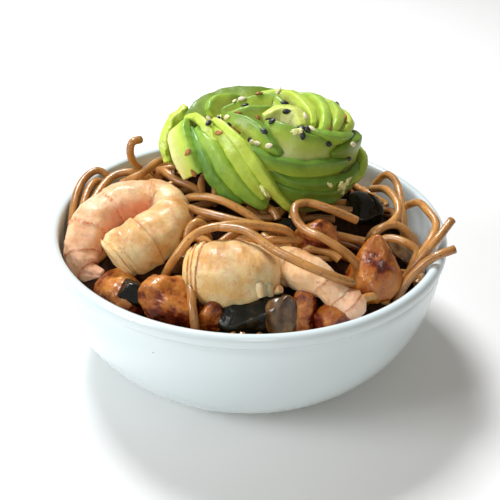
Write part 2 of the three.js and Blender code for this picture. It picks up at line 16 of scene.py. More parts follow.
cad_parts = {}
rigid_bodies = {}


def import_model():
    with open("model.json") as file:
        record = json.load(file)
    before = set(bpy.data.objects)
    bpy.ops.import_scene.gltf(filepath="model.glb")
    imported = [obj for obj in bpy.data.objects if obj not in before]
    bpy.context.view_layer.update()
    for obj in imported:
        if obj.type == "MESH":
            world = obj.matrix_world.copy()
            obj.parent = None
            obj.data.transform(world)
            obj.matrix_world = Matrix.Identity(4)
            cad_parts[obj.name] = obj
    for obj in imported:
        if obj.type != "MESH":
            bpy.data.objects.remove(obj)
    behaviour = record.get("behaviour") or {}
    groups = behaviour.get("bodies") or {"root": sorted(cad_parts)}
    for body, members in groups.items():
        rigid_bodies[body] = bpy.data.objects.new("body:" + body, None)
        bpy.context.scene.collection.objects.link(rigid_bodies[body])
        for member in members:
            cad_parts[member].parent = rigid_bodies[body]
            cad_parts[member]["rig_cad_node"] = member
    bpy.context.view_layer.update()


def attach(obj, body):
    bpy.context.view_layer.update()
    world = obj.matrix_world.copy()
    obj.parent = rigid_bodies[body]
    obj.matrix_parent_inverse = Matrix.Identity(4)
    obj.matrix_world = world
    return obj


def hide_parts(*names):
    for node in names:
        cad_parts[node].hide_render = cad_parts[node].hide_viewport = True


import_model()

bl_info = {
    "name": "Noodle bowl with avocado rose",
    "version": (1, 0, 0),
    "blender": (4, 5, 0),
    "location": "3D View > Sidebar > Noodle bowl",
    "description": "Makes the bowl, its noodles and toppings, and a pale studio",
    "category": "Add Mesh",
}

MM = 0.001

# ---------------------------------------------------------------- what lies where, in millimetres

# Noodles that show as single strands: the points that each one passes through.
STRANDS = [
    # Back left: the hook that stands up, and the loops along the rim.
    [(-43, 26, 74), (-46, 23, 74), (-47, 23, 69), (-45, 25, 63), (-40, 28, 57)],
    [(-67, -4, 44), (-68, 9, 53), (-66, 21, 58), (-61, 26, 60), (-56, 26, 57)],
    [(-63, -4, 46), (-64, 8, 54), (-61, 20, 58), (-57, 22, 56)],
    [(-62, -2, 52), (-59, 11, 57), (-54, 21, 60), (-48, 23, 61), (-40, 24, 58)],
    [(-50, 15, 60), (-43, 17, 63), (-35, 31, 63), (-30, 38, 58)],
    [(-35, 21, 63), (-28, 13, 63), (-20, 9, 61)],
    [(-18, 8, 58), (-18, 10, 65), (-16, 10, 67), (-13, 8, 65), (-13, 5, 58)],
    # Front: long strands from the left shrimp to the middle, and round the front one.
    [(-24, 1, 61), (-14, -4, 65), (-3, -9, 63), (8, -13, 56)],
    [(-25, -4, 60), (-16, -12, 63), (-3, -18, 63), (9, -19, 61), (16, -19, 56)],
    [(-30, -30, 45), (-25, -32, 56), (-18, -29, 64), (-8, -27, 66.5), (4, -24, 65), (15, -20, 60)],
    [(-11, -27, 66), (-1, -31, 67), (9, -38, 64), (17, -43, 62.5), (26, -46, 60), (36, -44, 55)],
    [(-25, -34, 48), (-22, -39, 51), (-19, -44, 51), (-18, -50, 48), (-17, -53, 43)],
    [(-31, -38, 50), (-35, -27, 42)],
    [(-8, -18, 55), (5, -22, 58), (14, -22, 58), (24, -14, 53)],
    [(-22, -22, 54), (-21, -19, 60), (-18, -17, 62), (-15, -16, 57)],
    # Right: the ring over the chicken, the loops at the wall and the two ends that hang over the rim.
    [(40, -10, 60), (30, -11, 65), (21, -10, 67), (17, -13, 67), (17, -18, 65), (20, -22, 63), (27, -27, 62),
     (38, -29, 54)],
    [(50, 27, 54), (54, 17, 59), (57, 7, 59), (57, 1, 57), (54, -1, 54), (48, -1, 50)],
    [(52, 35, 52), (56, 34, 57), (59, 27, 58), (60, 18, 56), (61, 7, 48)],
    [(61, 15, 52), (65, 7, 59), (67, -3, 61), (69, -11, 60), (66, -19, 58), (62, -23, 53), (57, -26, 44)],
    [(56, -27, 44), (61, -25, 52), (67, -22, 59), (73.5, -15, 64)],
    [(55, -32, 44), (61, -29, 52), (66, -29, 57), (73, -27, 59)],
    [(45, -14, 50), (51, -14, 55), (57, -18, 56), (61, -21, 54), (60, -24, 51), (56, -27, 42)],
    [(49, -5, 53), (56, -2, 54), (61, -3, 51), (65, -3, 43)],
    [(28, -52, 43), (32, -51, 47), (38, -45, 48), (45, -37, 45), (51, -31, 38)],
]
LOOSE_END = 5  # an end this far above the heap hangs free

# The strands of the heap: pitch of their points, how many points the shortest has, how far one may stand over
# the heap, how far apart from the single strands, in radii, how far inside the wall, and how the arcs sweep.
FILL = {"pitch": 1.6, "least": 8, "proud": 1.4, "apart": 1.4, "margin": 8, "sweep": 1.6, "more": 2.4}
NEAR = 14  # solids further from a strand than this are let be

# Strands in front of the toppings lie this far under the lip, and lower away from it by this slope.
LOW = {"below": 3.4, "slope": 0.617}

# Height of the heap's surface, with a mound under the rose and a hollow along the front wall.
HEAP = {
    "edge": 42, "rise": 15.5, "radius": 70, "fall": 2.4, "tilt_x": -0.03, "tilt_y": 0.01, "sink": 4,
    "mound": (-8, 34, 8, 28), "hollow": (26, 46, 9),
}

# A shrimp's runs: x, y, z and radius along the middle line of each, where its joints are along it, and how
# near the tail it starts and ends.
SHRIMPS = {
    "shrimp_left": [
        ([(-47, -25, 49, 8.4), (-44, -23, 51, 10.2), (-37, -20, 54, 10.4), (-30, -13, 57, 9.4),
          (-28, -4, 58, 8)],
         (0.1, 0.52, 0.84), 0, 0.15),
        ([(-28, -5, 58, 7), (-33, 3, 59, 7.8), (-44, 2, 59, 8), (-54, -3, 56, 8.2), (-59.5, -11, 51, 8),
          (-60, -18, 46, 6.8), (-58, -23, 43, 4.6), (-52, -25, 43, 2.4)],
         (0.2, 0.38, 0.54, 0.7, 0.85), 0.15, 1),
    ],
    "shrimp_front": [
        ([(-20, -33, 51, 8.5), (-15, -34, 51.5, 11.4), (-7, -36, 52, 12.4), (2, -35, 51.5, 11.8),
          (8, -32.5, 50, 8.8), (11.5, -31.5, 49, 4.5)],
         (0.07, 0.13, 0.22, 0.8), 0, 0.2),
    ],
    "shrimp_right": [
        ([(8, -27, 51, 5), (15, -32, 53, 7), (22, -38, 54, 7), (28, -43, 52.5, 5.4), (32, -45.5, 50, 5),
          (35.5, -47, 47.5, 6), (38, -48, 44.5, 3.6)],
         (0.2, 0.48, 0.66, 0.8), 0.1, 1),
    ],
}

# At a joint a shrimp widens by a share of its radius, then narrows, and either fades over a share of its run.
LAP = {"over": 0.045, "over_reach": 0.06, "under": 0.035, "under_reach": 0.04}

# Stumps of legs left on a shrimp: x, y, z and radius along each.
LEGS = {
    "shrimp_front": [
        [(6.5, -38, 54, 1.9), (7.2, -43, 53.5, 1.8), (8.2, -44, 49.5, 1.5), (9, -43.5, 46, 1.7)],
        [(8, -38, 51.5, 1.7), (10, -43, 50.5, 1.4), (11.8, -44, 52, 1.5)],
        [(4, -40, 54, 1.8), (4.4, -45.6, 54, 1.6), (5.2, -47, 50.5, 1.2)],
    ],
}

# Lumps: middle, half sizes, turns about X, Y and Z in degrees, how square, how rough, a seed, and how much
# narrower at the top. Flat faces as from a knife are cut off each: how many, and how far out of its size.
LUMPS = {
    "chicken_front": dict(at=(-27, -45, 46), half=(12.5, 9, 9.5), turn=(10, 0, -12),
        square=2.6, rough=0.05, seed=3, taper=0.2),
    "chicken_left": dict(at=(-43, -35, 42), half=(13, 8, 7.5), turn=(0, 8, -38),
        square=3, rough=0.04, seed=5, taper=0.1),
    "chicken_small": dict(at=(-13, -46, 41), half=(4.5, 5, 6.5), turn=(0, 10, 20),
        square=3, rough=0.08, seed=7),
    "chicken_middle": dict(at=(20, -46.5, 43), half=(5.5, 6, 9.5), turn=(-8, 4, 10),
        square=3.4, rough=0.04, seed=9, taper=0.2),
    "chicken_bumpy": dict(at=(31, -49, 42), half=(7.5, 6, 7), turn=(0, -10, 28),
        square=2.6, rough=0.07, seed=11),
    "chicken_right": dict(at=(45.5, -28, 50), half=(16, 12, 14.5), turn=(-4, 0, 24),
        square=2.6, rough=0.04, seed=13, taper=0.82),
    "chicken_centre": dict(at=(25, -16, 54.5), half=(11.5, 8.5, 9.5), turn=(4, 6, -14),
        square=2.8, rough=0.04, seed=15, taper=0.45),
    "chicken_back": dict(at=(-18, 60, 46), half=(10, 8, 8), turn=(6, 0, 40),
        square=2.7, rough=0.05, seed=17, taper=0.2),
    "chicken_rear": dict(at=(38, 51, 47), half=(9, 7, 8), turn=(0, 12, -30),
        square=2.8, rough=0.05, seed=19, taper=0.3),
    "aubergine_half": dict(at=(2.5, -45.5, 40.5), half=(16, 8, 8), turn=(14, -8, 4),
        square=3.2, rough=0.02, seed=21),
    "aubergine_skin": dict(at=(-37, -43, 47), half=(8, 3, 4.5), turn=(-20, 6, -16),
        square=6, rough=0.02, seed=23),
    "aubergine_small": dict(at=(14, -10, 56), half=(6, 4, 3.5), turn=(0, 6, 20),
        square=3, rough=0.03, seed=25),
    # A near-black lump in the dark hollow to the right of the rose: partly a piece of aubergine, partly a
    # painted shadow that fills the hollow.
    "aubergine_right": dict(at=(47, 18, 49), half=(7, 9, 5), turn=(0, 10, 10), square=3, rough=0.04, seed=27),
    "aubergine_back": dict(at=(9, 62, 46), half=(10, 4.5, 6), turn=(10, 0, 4),
        square=3.4, rough=0.03, seed=29),
    "onion_front": dict(at=(12, -49.5, 45), half=(7, 5, 8.5), turn=(-6, 0, 8),
        square=2.6, rough=0.04, seed=31, taper=0.3),
    "onion_strip": dict(at=(56, -9, 48), half=(7, 4.5, 2.2), turn=(-24, 22, -38),
        square=3.6, rough=0.04, seed=33),
    "onion_left": dict(at=(-24, -29, 50), half=(3, 2, 7.5), turn=(12, 34, 10), square=3, rough=0.04, seed=35),
}
CUTS = {"count": 9, "near": 0.72, "far": 0.98}

# The dome that the rose fills: middle, half width, half depth, height, and how square in plan and in profile.
ROSE = {"x": 6, "y": 24, "z": 59, "half_width": 42, "half_depth": 32, "height": 35, "plan": 3, "profile": 2.8}

# Slices: azimuth and elevation of the skin edge on the dome, depth from skin to stone, lean of the stone
# edge, lift off the dome, thickness, what is left of the depth at the ends, how olive the flesh is (partly
# its dull colour, partly painted shade on faces turned from the light), how mashed it is, and how far its
# colour is towards the stone's (partly the paler flesh by the stone, partly a painted sheen where the light
# falls).
SLICES = {
    "bud": dict(edge=[(-150, 76), (-128, 74), (-105, 71), (-90, 60), (-84, 47), (-79, 37)],
        deep=13, lean=34, thick=5.4, taper=0.3, olive=0.4, ripe=0.1),
    "petal": dict(edge=[(-91, 75), (-77, 69), (-65, 60), (-53, 50), (-33, 39)],
        deep=20, lean=54, olive=0.55, ripe=0.1),
    "ledge": dict(edge=[(-61, 61), (-47, 51), (-32, 43), (-12, 38)], deep=13, lean=14, olive=0.2, ripe=0.14),
    "inner": dict(edge=[(-97, 80), (-56, 83), (-46, 75), (-56, 63)],
        deep=14, lean=10, thick=6, ripe=0.62),
    "lime": dict(edge=[(-140, 61), (-120, 53), (-107, 44), (-97, 30), (-90, 17), (-83, 7), (-75, 1)],
        deep=10, lean=-8, lift=1, thick=4.6, taper=0.5, ripe=0.46),
    "knob": dict(edge=[(-172, 46), (-160, 54), (-145, 54), (-132, 48), (-123, 42)],
        deep=9, lean=-10, lift=0.2, thick=4, taper=0.4, mashed=0.4, ripe=0.5),
    "strip_1": dict(edge=[(-138, 58), (-123, 49), (-112, 38), (-104, 26), (-97, 14), (-91, 5)],
        deep=12, lean=-16, thick=6.6, taper=0.5, mashed=0.1, ripe=0.4),
    "strip_2": dict(edge=[(-150, 50), (-137, 42), (-126, 35), (-115, 22), (-106, 13), (-98, 5), (-90, 1)],
        deep=13, lean=-16, thick=7, taper=0.5, ripe=0.22),
    "strip_3": dict(edge=[(-158, 45), (-137, 34), (-126, 22), (-118, 12), (-110, 5), (-103, 2)],
        deep=13, lean=-16, thick=6.4, taper=0.5, ripe=0.02),
    "block": dict(edge=[(-163, 50), (-150, 43), (-139, 34), (-131, 25), (-126, 17)],
        deep=11, lean=74, lift=1.8, thick=5, taper=0.95, mashed=0.1, ripe=0.2),
    "side": dict(edge=[(170, 50), (178, 43), (-174, 34), (-165, 24), (-157, 13)],
        deep=13, lean=26, lift=2.4, thick=5, taper=0.7, mashed=0.7, ripe=0.5),
    "shoulder": dict(edge=[(-46, 31), (-30, 35), (-8, 33), (16, 30)], deep=15, lean=46, olive=1.0),
    "wrap_1": dict(edge=[(-111, 54), (-99, 43), (-88, 36), (-72, 30), (-53, 27), (-32, 23)],
        deep=15, lean=50, ripe=0.02, olive=0.4),
    "wrap_2": dict(edge=[(-92, 29), (-80, 20), (-72, 17), (-56, 14), (-35, 12), (-14, 13)],
        deep=14, lean=55, olive=0.7, ripe=0.04),
    "wrap_3": dict(edge=[(-87, 17), (-77, 13), (-67, 10), (-48, 7), (-26, 6)],
        deep=12, lean=58, olive=0.85, ripe=0.02),
    "wrap_4": dict(edge=[(-79, 5), (-64, 4), (-44, 2)], deep=9, lean=40, olive=0.7),
    "fringe": dict(edge=[(-36, 7), (-21, 10), (-4, 14), (16, 19)],
        deep=11, lean=40, olive=0.4, mashed=0.4, ripe=0.35),
    "arc_1": dict(edge=[(58, 42), (34, 40), (4, 42), (-22, 42)], deep=14, lean=14, thick=5, ripe=0.42),
    "arc_2": dict(edge=[(64, 54), (34, 54), (8, 55), (-19, 53), (-34, 48)],
        deep=14, lean=6, thick=5, ripe=0.34),
    "arc_3": dict(edge=[(80, 64), (46, 66), (20, 68), (-14, 65), (-34, 58), (-44, 53)],
        deep=14, lean=2, thick=5, ripe=0.3),
    "arc_4": dict(edge=[(96, 72), (60, 77), (18, 80), (-28, 72), (-44, 62)],
        deep=12, lean=0, thick=4.4, ripe=0.4),
    "arch_1": dict(edge=[(-174, 44), (174, 53), (156, 58), (128, 62), (100, 65), (76, 60)],
        deep=17, lean=40, lift=0.8, taper=0.4, olive=1.0),
    "arch_2": dict(edge=[(-172, 64), (160, 68), (128, 74)], deep=13, lean=20, olive=0.2, ripe=0.2),
    "arch_3": dict(edge=[(-165, 73), (160, 85), (60, 86), (-20, 84)], deep=13, lean=36, olive=0.4, ripe=0.2),
    "heart": dict(edge=[(-140, 71), (-128, 80), (-100, 85), (-60, 87)],
        deep=12, lean=20, olive=0.3, ripe=0.2),
    "rear_1": dict(edge=[(148, 46), (118, 50), (88, 50), (54, 46)], deep=15, lean=-52, ripe=0.2),
    "rear_2": dict(edge=[(166, 36), (136, 36), (104, 36), (70, 34), (44, 32)],
        deep=15, lean=-55, olive=0.3, ripe=0.1),
    "rear_3": dict(edge=[(152, 23), (122, 22), (90, 22), (58, 21), (30, 24)], deep=14, lean=-58, ripe=0.16),
    "rear_4": dict(edge=[(168, 22), (140, 12), (108, 10), (76, 10), (46, 11)],
        deep=12, lean=-58, olive=0.4, ripe=0.06),
    "rear_5": dict(edge=[(138, 2), (108, 1), (76, 1), (44, 3), (20, 7)],
        deep=9, lean=-45, olive=0.2, ripe=0.12),
}
TUCK = 3  # how far the thin ends of a slice dip under its neighbours
FLESH = 12  # how far down from the skin the flesh has changed to its colour by the stone

# Sesame of each colour, by azimuth and elevation on the rose, and crumbs of avocado, with their length too.
SEEDS = {
    "black": [
        (162, 78), (106, 82), (-153, 76), (-132, 81), (-156, 67), (-137, 54), (-122, 60), (-14, 86), (23, 51),
        (-59, 78), (-86, 77), (-84, 69), (-92, 56), (-60, 60), (-57, 56), (-64, 51), (-46, 40), (-31, 22),
        (-102, 51), (-165, 70),
    ],
    "white": [
        (-178, 81), (-179, 84), (71, 78), (-167, 64), (-94, 73), (-62, 73), (-74, 71), (-53, 56), (-28, 32),
        (-88, 44), (-96, 48), (-162, 71), (-137, 70), (-129, 63), (-45, 70), (-100, 50),
    ],
    "toasted": [
        (130, 88), (101, 85), (-128, 74), (-104, 78), (-141, 62), (-141, 67), (-124, 50), (-113, 56),
        (-28, 67), (-8, 51), (-38, 52), (-9, 38), (-136, 28), (-130, 16), (-117, 58), (-92, 2),
    ],
}
CRUMBS = [
    (-44, 7, 7), (-40, 9, 4.5), (-54, 11, 2.6), (-90, 12, 5), (-88, 8, 3.4), (-67, 55, 4), (-170, 72, 3.2),
]

# Lights: place in metres, width, and colour.
LIGHTS = {
    "Window": ((-0.78, -0.36, 0.5), 0.4, "F6FAFF"),
    "Top": ((-0.25, 0.4, 0.85), 0.3, "FAFCFF"),
    "Front": ((0.1, -0.9, 0.6), 0.3, "FFF6EA"),
}
LIT = (0, 0, 0.05)  # where the lights point

# The camera: the place that it looks at and its distance in millimetres, its angles in degrees, and its lens.
CAMERA = {"aim": (1.02, 0, 40.06), "distance": 345, "elevation": 31.66, "roll": 1.33, "lens": 63.9}


# ---------------------------------------------------------------- settings


def linear(code):
    """A colour written as six sRGB hex digits, as linear numbers."""
    parts = [int(code[i:i + 2], 16) / 255 for i in (0, 2, 4)]
    return [c / 12.92 if c <= 0.04045 else ((c + 0.055) / 1.055) ** 2.4 for c in parts]


def size(name, description, millimetres):
    return FloatProperty(
        name=name, description=description, default=millimetres * MM, unit="LENGTH", precision=5)


def power(name, description, watts):
    return FloatProperty(name=name, description=description, default=watts, unit="POWER")


def colour(name, description, code):
    return FloatVectorProperty(
        name=name, description=description, default=linear(code), subtype="COLOR", min=0, max=1)


class BowlSettings(bpy.types.PropertyGroup):
    rim: size("Rim", "Outer radius over the rounded lip", 75)
    height: size("Height", "Height of the lip", 54)
    foot: size("Foot", "Radius of the flat foot", 37)
    wall: size("Wall", "Thickness of the wall", 4)
    floor: size("Floor", "Thickness under the food", 5)
    lip: size("Lip", "Height of the lip, down to the groove under it", 5)
    proud: size("Lip overhang", "How far the lip stands out over the wall below it", 0.9)
    round: FloatProperty(name="Roundness", description="Exponent of the belly's superellipse", default=2.05)
    glaze: colour("Glaze", "Colour of the glaze", "D4E3E6")
    speck: colour("Specks", "Colour of the iron specks in the glaze", "6A4A34")


class NoodleSettings(bpy.types.PropertyGroup):
    diameter: size("Diameter", "Thickness of a noodle", 3.1)
    tries: IntProperty(name="Tries", description="Strands that are tried in the heap", default=4200, min=0)
    front: size("Front line", "How far in front of the middle the strands begin to lie low", 24)
    smallest: size("Smallest arc", "Smallest radius that a strand of the heap bends to", 8)
    largest: size("Largest arc", "Largest radius that a strand of the heap bends to", 26)
    seed: IntProperty(name="Seed", description="Picks the strands of the heap", default=21)
    light: colour("Light", "Colour of the lighter parts of a noodle", "D59B54")
    dark: colour("Dark", "Colour of the darker parts of a noodle", "75421A")
    bran: colour("Bran", "Colour of the fine specks in a noodle", "40220E")
    sauce: colour("Sauce", "Colour of the sauce in the heap", "5A3216")


class ToppingSettings(bpy.types.PropertyGroup):
    flesh: colour("Shrimp", "Colour of the shrimps' flesh", "EAC27A")
    pink: colour("Shrimp pink", "Colour towards the shrimps' tails", "F3C6AA")
    vein: colour("Shrimp veins", "Colour of the lines and patches on the shrimps", "CE5F2C")
    # The chicken's crust runs from brown to golden as it faces up and stands proud: the golden is partly
    # painted light from above, the brown partly painted shade under the lumps and in their folds.
    golden: colour("Golden crust", "Colour of the lightly fried chicken", "AC5E1C")
    brown: colour("Brown crust", "Colour of the browned chicken", "6C200C")
    skin: colour("Aubergine skin", "Colour of the aubergine's skin", "100F08")
    onion: colour("Onion", "Colour of the fried onion", "A07C48")


class RoseSettings(bpy.types.PropertyGroup):
    rind: colour("Skin side", "Colour of a slice where its skin was", "5A8A30")
    lime: colour("Middle", "Colour of the middle of a slice", "C2D850")
    heart: colour("Stone side", "Colour of a slice by the stone", "EEEFA6")
    # Olive: partly the flesh's dull colour, partly painted shade on faces turned from the light.
    olive: colour("Olive", "Colour of the duller faces", "6C8220")
    black: colour("Black sesame", "Colour of the black sesame", "17181A")
    white: colour("White sesame", "Colour of the white sesame", "EFE6C8")
    toasted: colour("Toasted sesame", "Colour of the toasted sesame", "B87A3C")
    seed_length: size("Sesame length", "Length of a sesame seed", 3.4)
    seed_width: size("Sesame width", "Width of a sesame seed", 2.1)
    seed_thickness: size("Sesame thickness", "Thickness of a sesame seed", 1.2)


class StageSettings(bpy.types.PropertyGroup):
    floor: colour("Floor", "Colour of the floor", "F4F4F2")
    window: power("Window", "Power of the light at the left", 5.4)
    top: power("Top light", "Power of the light above", 9.5)
    front: power("Front light", "Power of the weak front light", 1.6)
    sky: FloatProperty(name="Sky", description="Brightness of the surroundings", default=0.2)


# ---------------------------------------------------------------- shared helpers


def draw(seed):
    """A generator of numbers from 0 to 1 that gives the same row for the same seed."""
    state = seed
    while True:
        state = (state * 1664525 + 1013904223) % 4294967296
        yield state / 4294967296


def smoothstep(value, low, high):
    share = min(max((value - low) / (high - low), 0), 1)
    return share * share * (3 - 2 * share)


def signed_power(value, power):
    return math.copysign(abs(value) ** power, value)


class Path:
    """A centripetal Catmull-Rom curve through points of any size."""

    def __init__(self, points):
        self.points = [Vector(p) for p in points]

    def at(self, share):
        points, last = self.points, len(self.points) - 1
        place = min(max(share, 0), 1) * last
        i = min(int(place), last - 1)
        w = place - i
        b, c = points[i], points[i + 1]
        a = points[i - 1] if i else b * 2 - c
        d = points[i + 2] if i + 2 <= last else c * 2 - b
        before, here, after = (max((q - p).length ** 0.5, 1e-4) for p, q in ((a, b), (b, c), (c, d)))
        leave = ((b - a) / before - (c - a) / (before + here) + (c - b) / here) * here
        reach = ((c - b) / here - (d - b) / (here + after) + (d - c) / after) * here
        cubic = (b - c) * 2 + leave + reach
        square = (c - b) * 3 - leave * 2 - reach
        return ((cubic * w + square) * w + leave) * w + b

    def tangent(self, share):
        step = 1e-3
        return (self.at(min(share + step, 1)) - self.at(max(share - step, 0))).normalized()

    def spaced(self, pitch):
        """Points along the curve about `pitch` apart."""
        fine = [self.at(k / 120) for k in range(121)]
        reach = [0.0]
        for p, q in zip(fine, fine[1:]):
            reach.append(reach[-1] + (q - p).length)
        count = max(3, round(reach[-1] / pitch))
        places, k = [], 0
        for n in range(count + 1):
            goal = reach[-1] * n / count
            while k < 119 and reach[k + 1] < goal:
                k += 1
            span = max(reach[k + 1] - reach[k], 1e-9)
            places.append(fine[k].lerp(fine[k + 1], (goal - reach[k]) / span))
        return places


def frames(points):
    """For each point, a direction across the line that turns as little as it can, and one square to it."""
    found = []
    across = None
    for i in range(len(points)):
        ahead = (points[min(i + 1, len(points) - 1)] - points[max(i - 1, 0)]).normalized()
        if across is None:
            across = ahead.orthogonal().normalized()
        across = (across - ahead * across.dot(ahead)).normalized()
        found.append((across, ahead.cross(across)))
    return found


def tube(bm, around, along, place, layers=()):
    """A grid rolled into a tube. place(u, t) gives a corner's point and marks, u round it and t along it."""
    made = bmesh.ops.create_grid(bm, x_segments=around, y_segments=along, size=0.5)["verts"]
    for vert in made:
        vert.co, marks = place(vert.co.x + 0.5, vert.co.y + 0.5)
        for layer, value in zip(layers, marks):
            vert[layer] = value
    bmesh.ops.remove_doubles(bm, verts=made, dist=2e-6)


def rounded_off(t, bluff, power):
    """How far along its line a body is at t, and its width there: it rounds off over `bluff` at each end."""
    run = min(max((t - bluff) / (1 - 2 * bluff), 0), 1)
    edge = min(min(t, 1 - t) / bluff, 1)
    return run, (1 - (1 - edge) ** power) ** (1 / power)


def marked_mesh(*marks):
    """A new bmesh, and a layer in it for each mark that its material reads."""
    bm = bmesh.new()
    return bm, [bm.verts.layers.float.new(mark) for mark in marks]


def close(bm):
    bmesh.ops.holes_fill(bm, edges=[e for e in bm.edges if e.is_boundary], sides=0)


def finish_piece(bm, name, finish, nodes=()):
    """Turns a bmesh into a shown piece that stands for CAD nodes."""
    bmesh.ops.recalc_face_normals(bm, faces=bm.faces)
    for face in bm.faces:
        face.smooth = True
    mesh = bpy.data.meshes.new(name)
    bm.to_mesh(mesh)
    bm.free()
    mesh.materials.append(finish)
    piece = bpy.data.objects.new(name, mesh)
    bpy.context.scene.collection.objects.link(piece)
    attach(piece, "root")
    if nodes:
        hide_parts(*nodes)
    return piece


def surface_of(pieces):
    """A search tree over the meshes of pieces."""
    points, faces = [], []
    for piece in pieces:
        first = len(points)
        points += [v.co.copy() for v in piece.data.vertices]
        faces += [[first + i for i in f.vertices] for f in piece.data.polygons]
    return BVHTree.FromPolygons(points, faces)


def pieces_of(*starts):
    return [o for o in bpy.context.scene.objects if o.name.startswith(starts) and "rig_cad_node" not in o]


# ---------------------------------------------------------------- materials


def per(millimetres):
    """The scale at which a texture's features are about this size."""
    return 1 / (millimetres * MM)


def rgba(value):
    """Six hex digits, a colour setting or a grey level as a colour of four numbers."""
    if isinstance(value, str):
        value = linear(value)
    elif isinstance(value, float):
        value = [value] * 3
    return (*value, 1)


class Finish:
    """A procedural material in the making: its Principled shader and the nodes that feed it."""

    def __init__(self, name, **values):
        """Sets the shader's constants on its own sockets."""
        self.material = bpy.data.materials.new(name)
        self.material.use_nodes = True
        self.shader = self.material.node_tree.nodes["Principled BSDF"].inputs
        for key, value in values.items():
            self.shader[key.replace("_", " ").title().replace("Ior", "IOR")].default_value = value
        self.where = self.add("TexCoord").outputs["Object"]

    def feed(self, socket, value):
        """Links a socket to another one or sets its value."""
        if isinstance(value, bpy.types.NodeSocket):
            self.material.node_tree.links.new(value, socket)
        else:
            socket.default_value = rgba(value) if socket.type == "RGBA" else value

    def add(self, kind, inputs=None, stops=(), **settings):
        """Adds a node with its settings, its links or values, and a ramp's stops, and gives the node."""
        node = self.material.node_tree.nodes.new("ShaderNode" + kind)
        for key, value in settings.items():
            setattr(node, key, value)
        for key, value in (inputs or {}).items():
            self.feed(node.inputs[key], value)
        if stops:
            elements = node.color_ramp.elements
            while len(elements) < len(stops):
                elements.new(1)
            for element, (place, value) in zip(elements, stops):
                element.position = place
                element.color = rgba(value)
        return node

    def mark(self, name):
        return self.add("Attribute", attribute_name=name).outputs["Fac"]

    def noise(self, millimetres, detail, roughness=0.5, distortion=0.0):
        return self.add("TexNoise", {
            "Vector": self.where, "Scale": per(millimetres), "Detail": detail, "Roughness": roughness,
            "Distortion": distortion}).outputs["Fac"]

    def math(self, operation, *values):
        return self.add("Math", dict(enumerate(values)), operation=operation).outputs[0]

    def span(self, value, low, high, first=0.0, last=1.0):
        """Maps low to high onto first to last, and stops at either end."""
        return self.add("MapRange", {0: value, 1: low, 2: high, 3: first, 4: last}).outputs[0]

    def upward(self, low, high, first, last):
        """Maps how far the surface faces up."""
        normal = self.add("NewGeometry").outputs["Normal"]
        return self.span(self.add("SeparateXYZ", {"Vector": normal}).outputs["Z"], low, high, first, last)

    def ramp(self, value, *stops):
        return self.add("ValToRGB", {"Fac": value}, stops).outputs[0]

    def blend(self, share, one, other):
        """One colour, and by its share the other."""
        return self.add("Mix", {0: share, 6: one, 7: other}, data_type="RGBA").outputs[2]

    def bump(self, height, strength, millimetres):
        bump = self.add("Bump", {"Height": height, "Strength": strength, "Distance": millimetres * MM})
        self.feed(self.shader["Normal"], bump.outputs["Normal"])
        return bump.outputs["Normal"]

    def paint(self, colour):
        self.feed(self.shader["Base Color"], colour)


def glaze_material(s):
    """Stoneware under a clear white glaze, fired glossy: a bluish white with a few iron specks."""
    f = Finish("White_stoneware_glaze", roughness=0.16)
    cells = f.add("TexVoronoi", {"Vector": f.where, "Scale": per(7)}).outputs
    small = f.math("LESS_THAN", cells["Distance"], 0.035)
    red = f.add("SeparateColor", {"Color": cells["Color"]}).outputs["Red"]
    specks = f.math("MULTIPLY", small, f.math("GREATER_THAN", red, 0.72))
    f.paint(f.blend(specks, f.blend(f.noise(45, 2), s.glaze, "E0EAEC"), s.speck))
    f.bump(f.noise(9, 1), 0.06, 0.4)
    return f.material


def noodle_material(s):
    """Boiled buckwheat noodle in oil and sauce: brown, lighter in places, specks of bran and a wet gloss."""
    f = Finish("Buckwheat_noodle", roughness=0.3, subsurface_weight=0.25, subsurface_scale=1.2 * MM,
               coat_weight=0.4, coat_roughness=0.07)
    light = f.span(f.math("ADD", f.noise(7, 3), f.mark("tone")), 0.5, 1.3)
    bran = f.ramp(f.noise(0.9, 2), (0.6, 0.0), (0.72, 0.6))
    f.paint(f.blend(bran, f.blend(light, s.dark, s.light), s.bran))
    f.feed(f.shader["Coat Normal"], f.bump(f.noise(1.1, 3, 0.6), 0.4, 0.3))
    return f.material


def sauce_and_shade_material(s):
    """Noodles deep in the heap, in soy sauce and in shade: brown bands over a near-black painted shade, which
    hardly shine.
    """
    f = Finish("Soy_sauce_glaze", roughness=0.6, specular_ior_level=0.1)
    strands = f.add("TexWave", {
        "Vector": f.where, "Scale": per(3.1) / 3, "Distortion": 9, "Detail": 1,
        "Detail Scale": per(20) / 2}).outputs["Fac"]
    # Painted shade: in broad patches the bands fade into the near-black, as the heap's deep shade between the
    # strands.
    deep = f.span(f.noise(14, 2), 0.35, 0.65, 0.25)
    f.paint(f.blend(f.math("MULTIPLY", strands, deep), "0E0603", s.sauce))
    f.bump(strands, 0.8, 1)
    return f.material


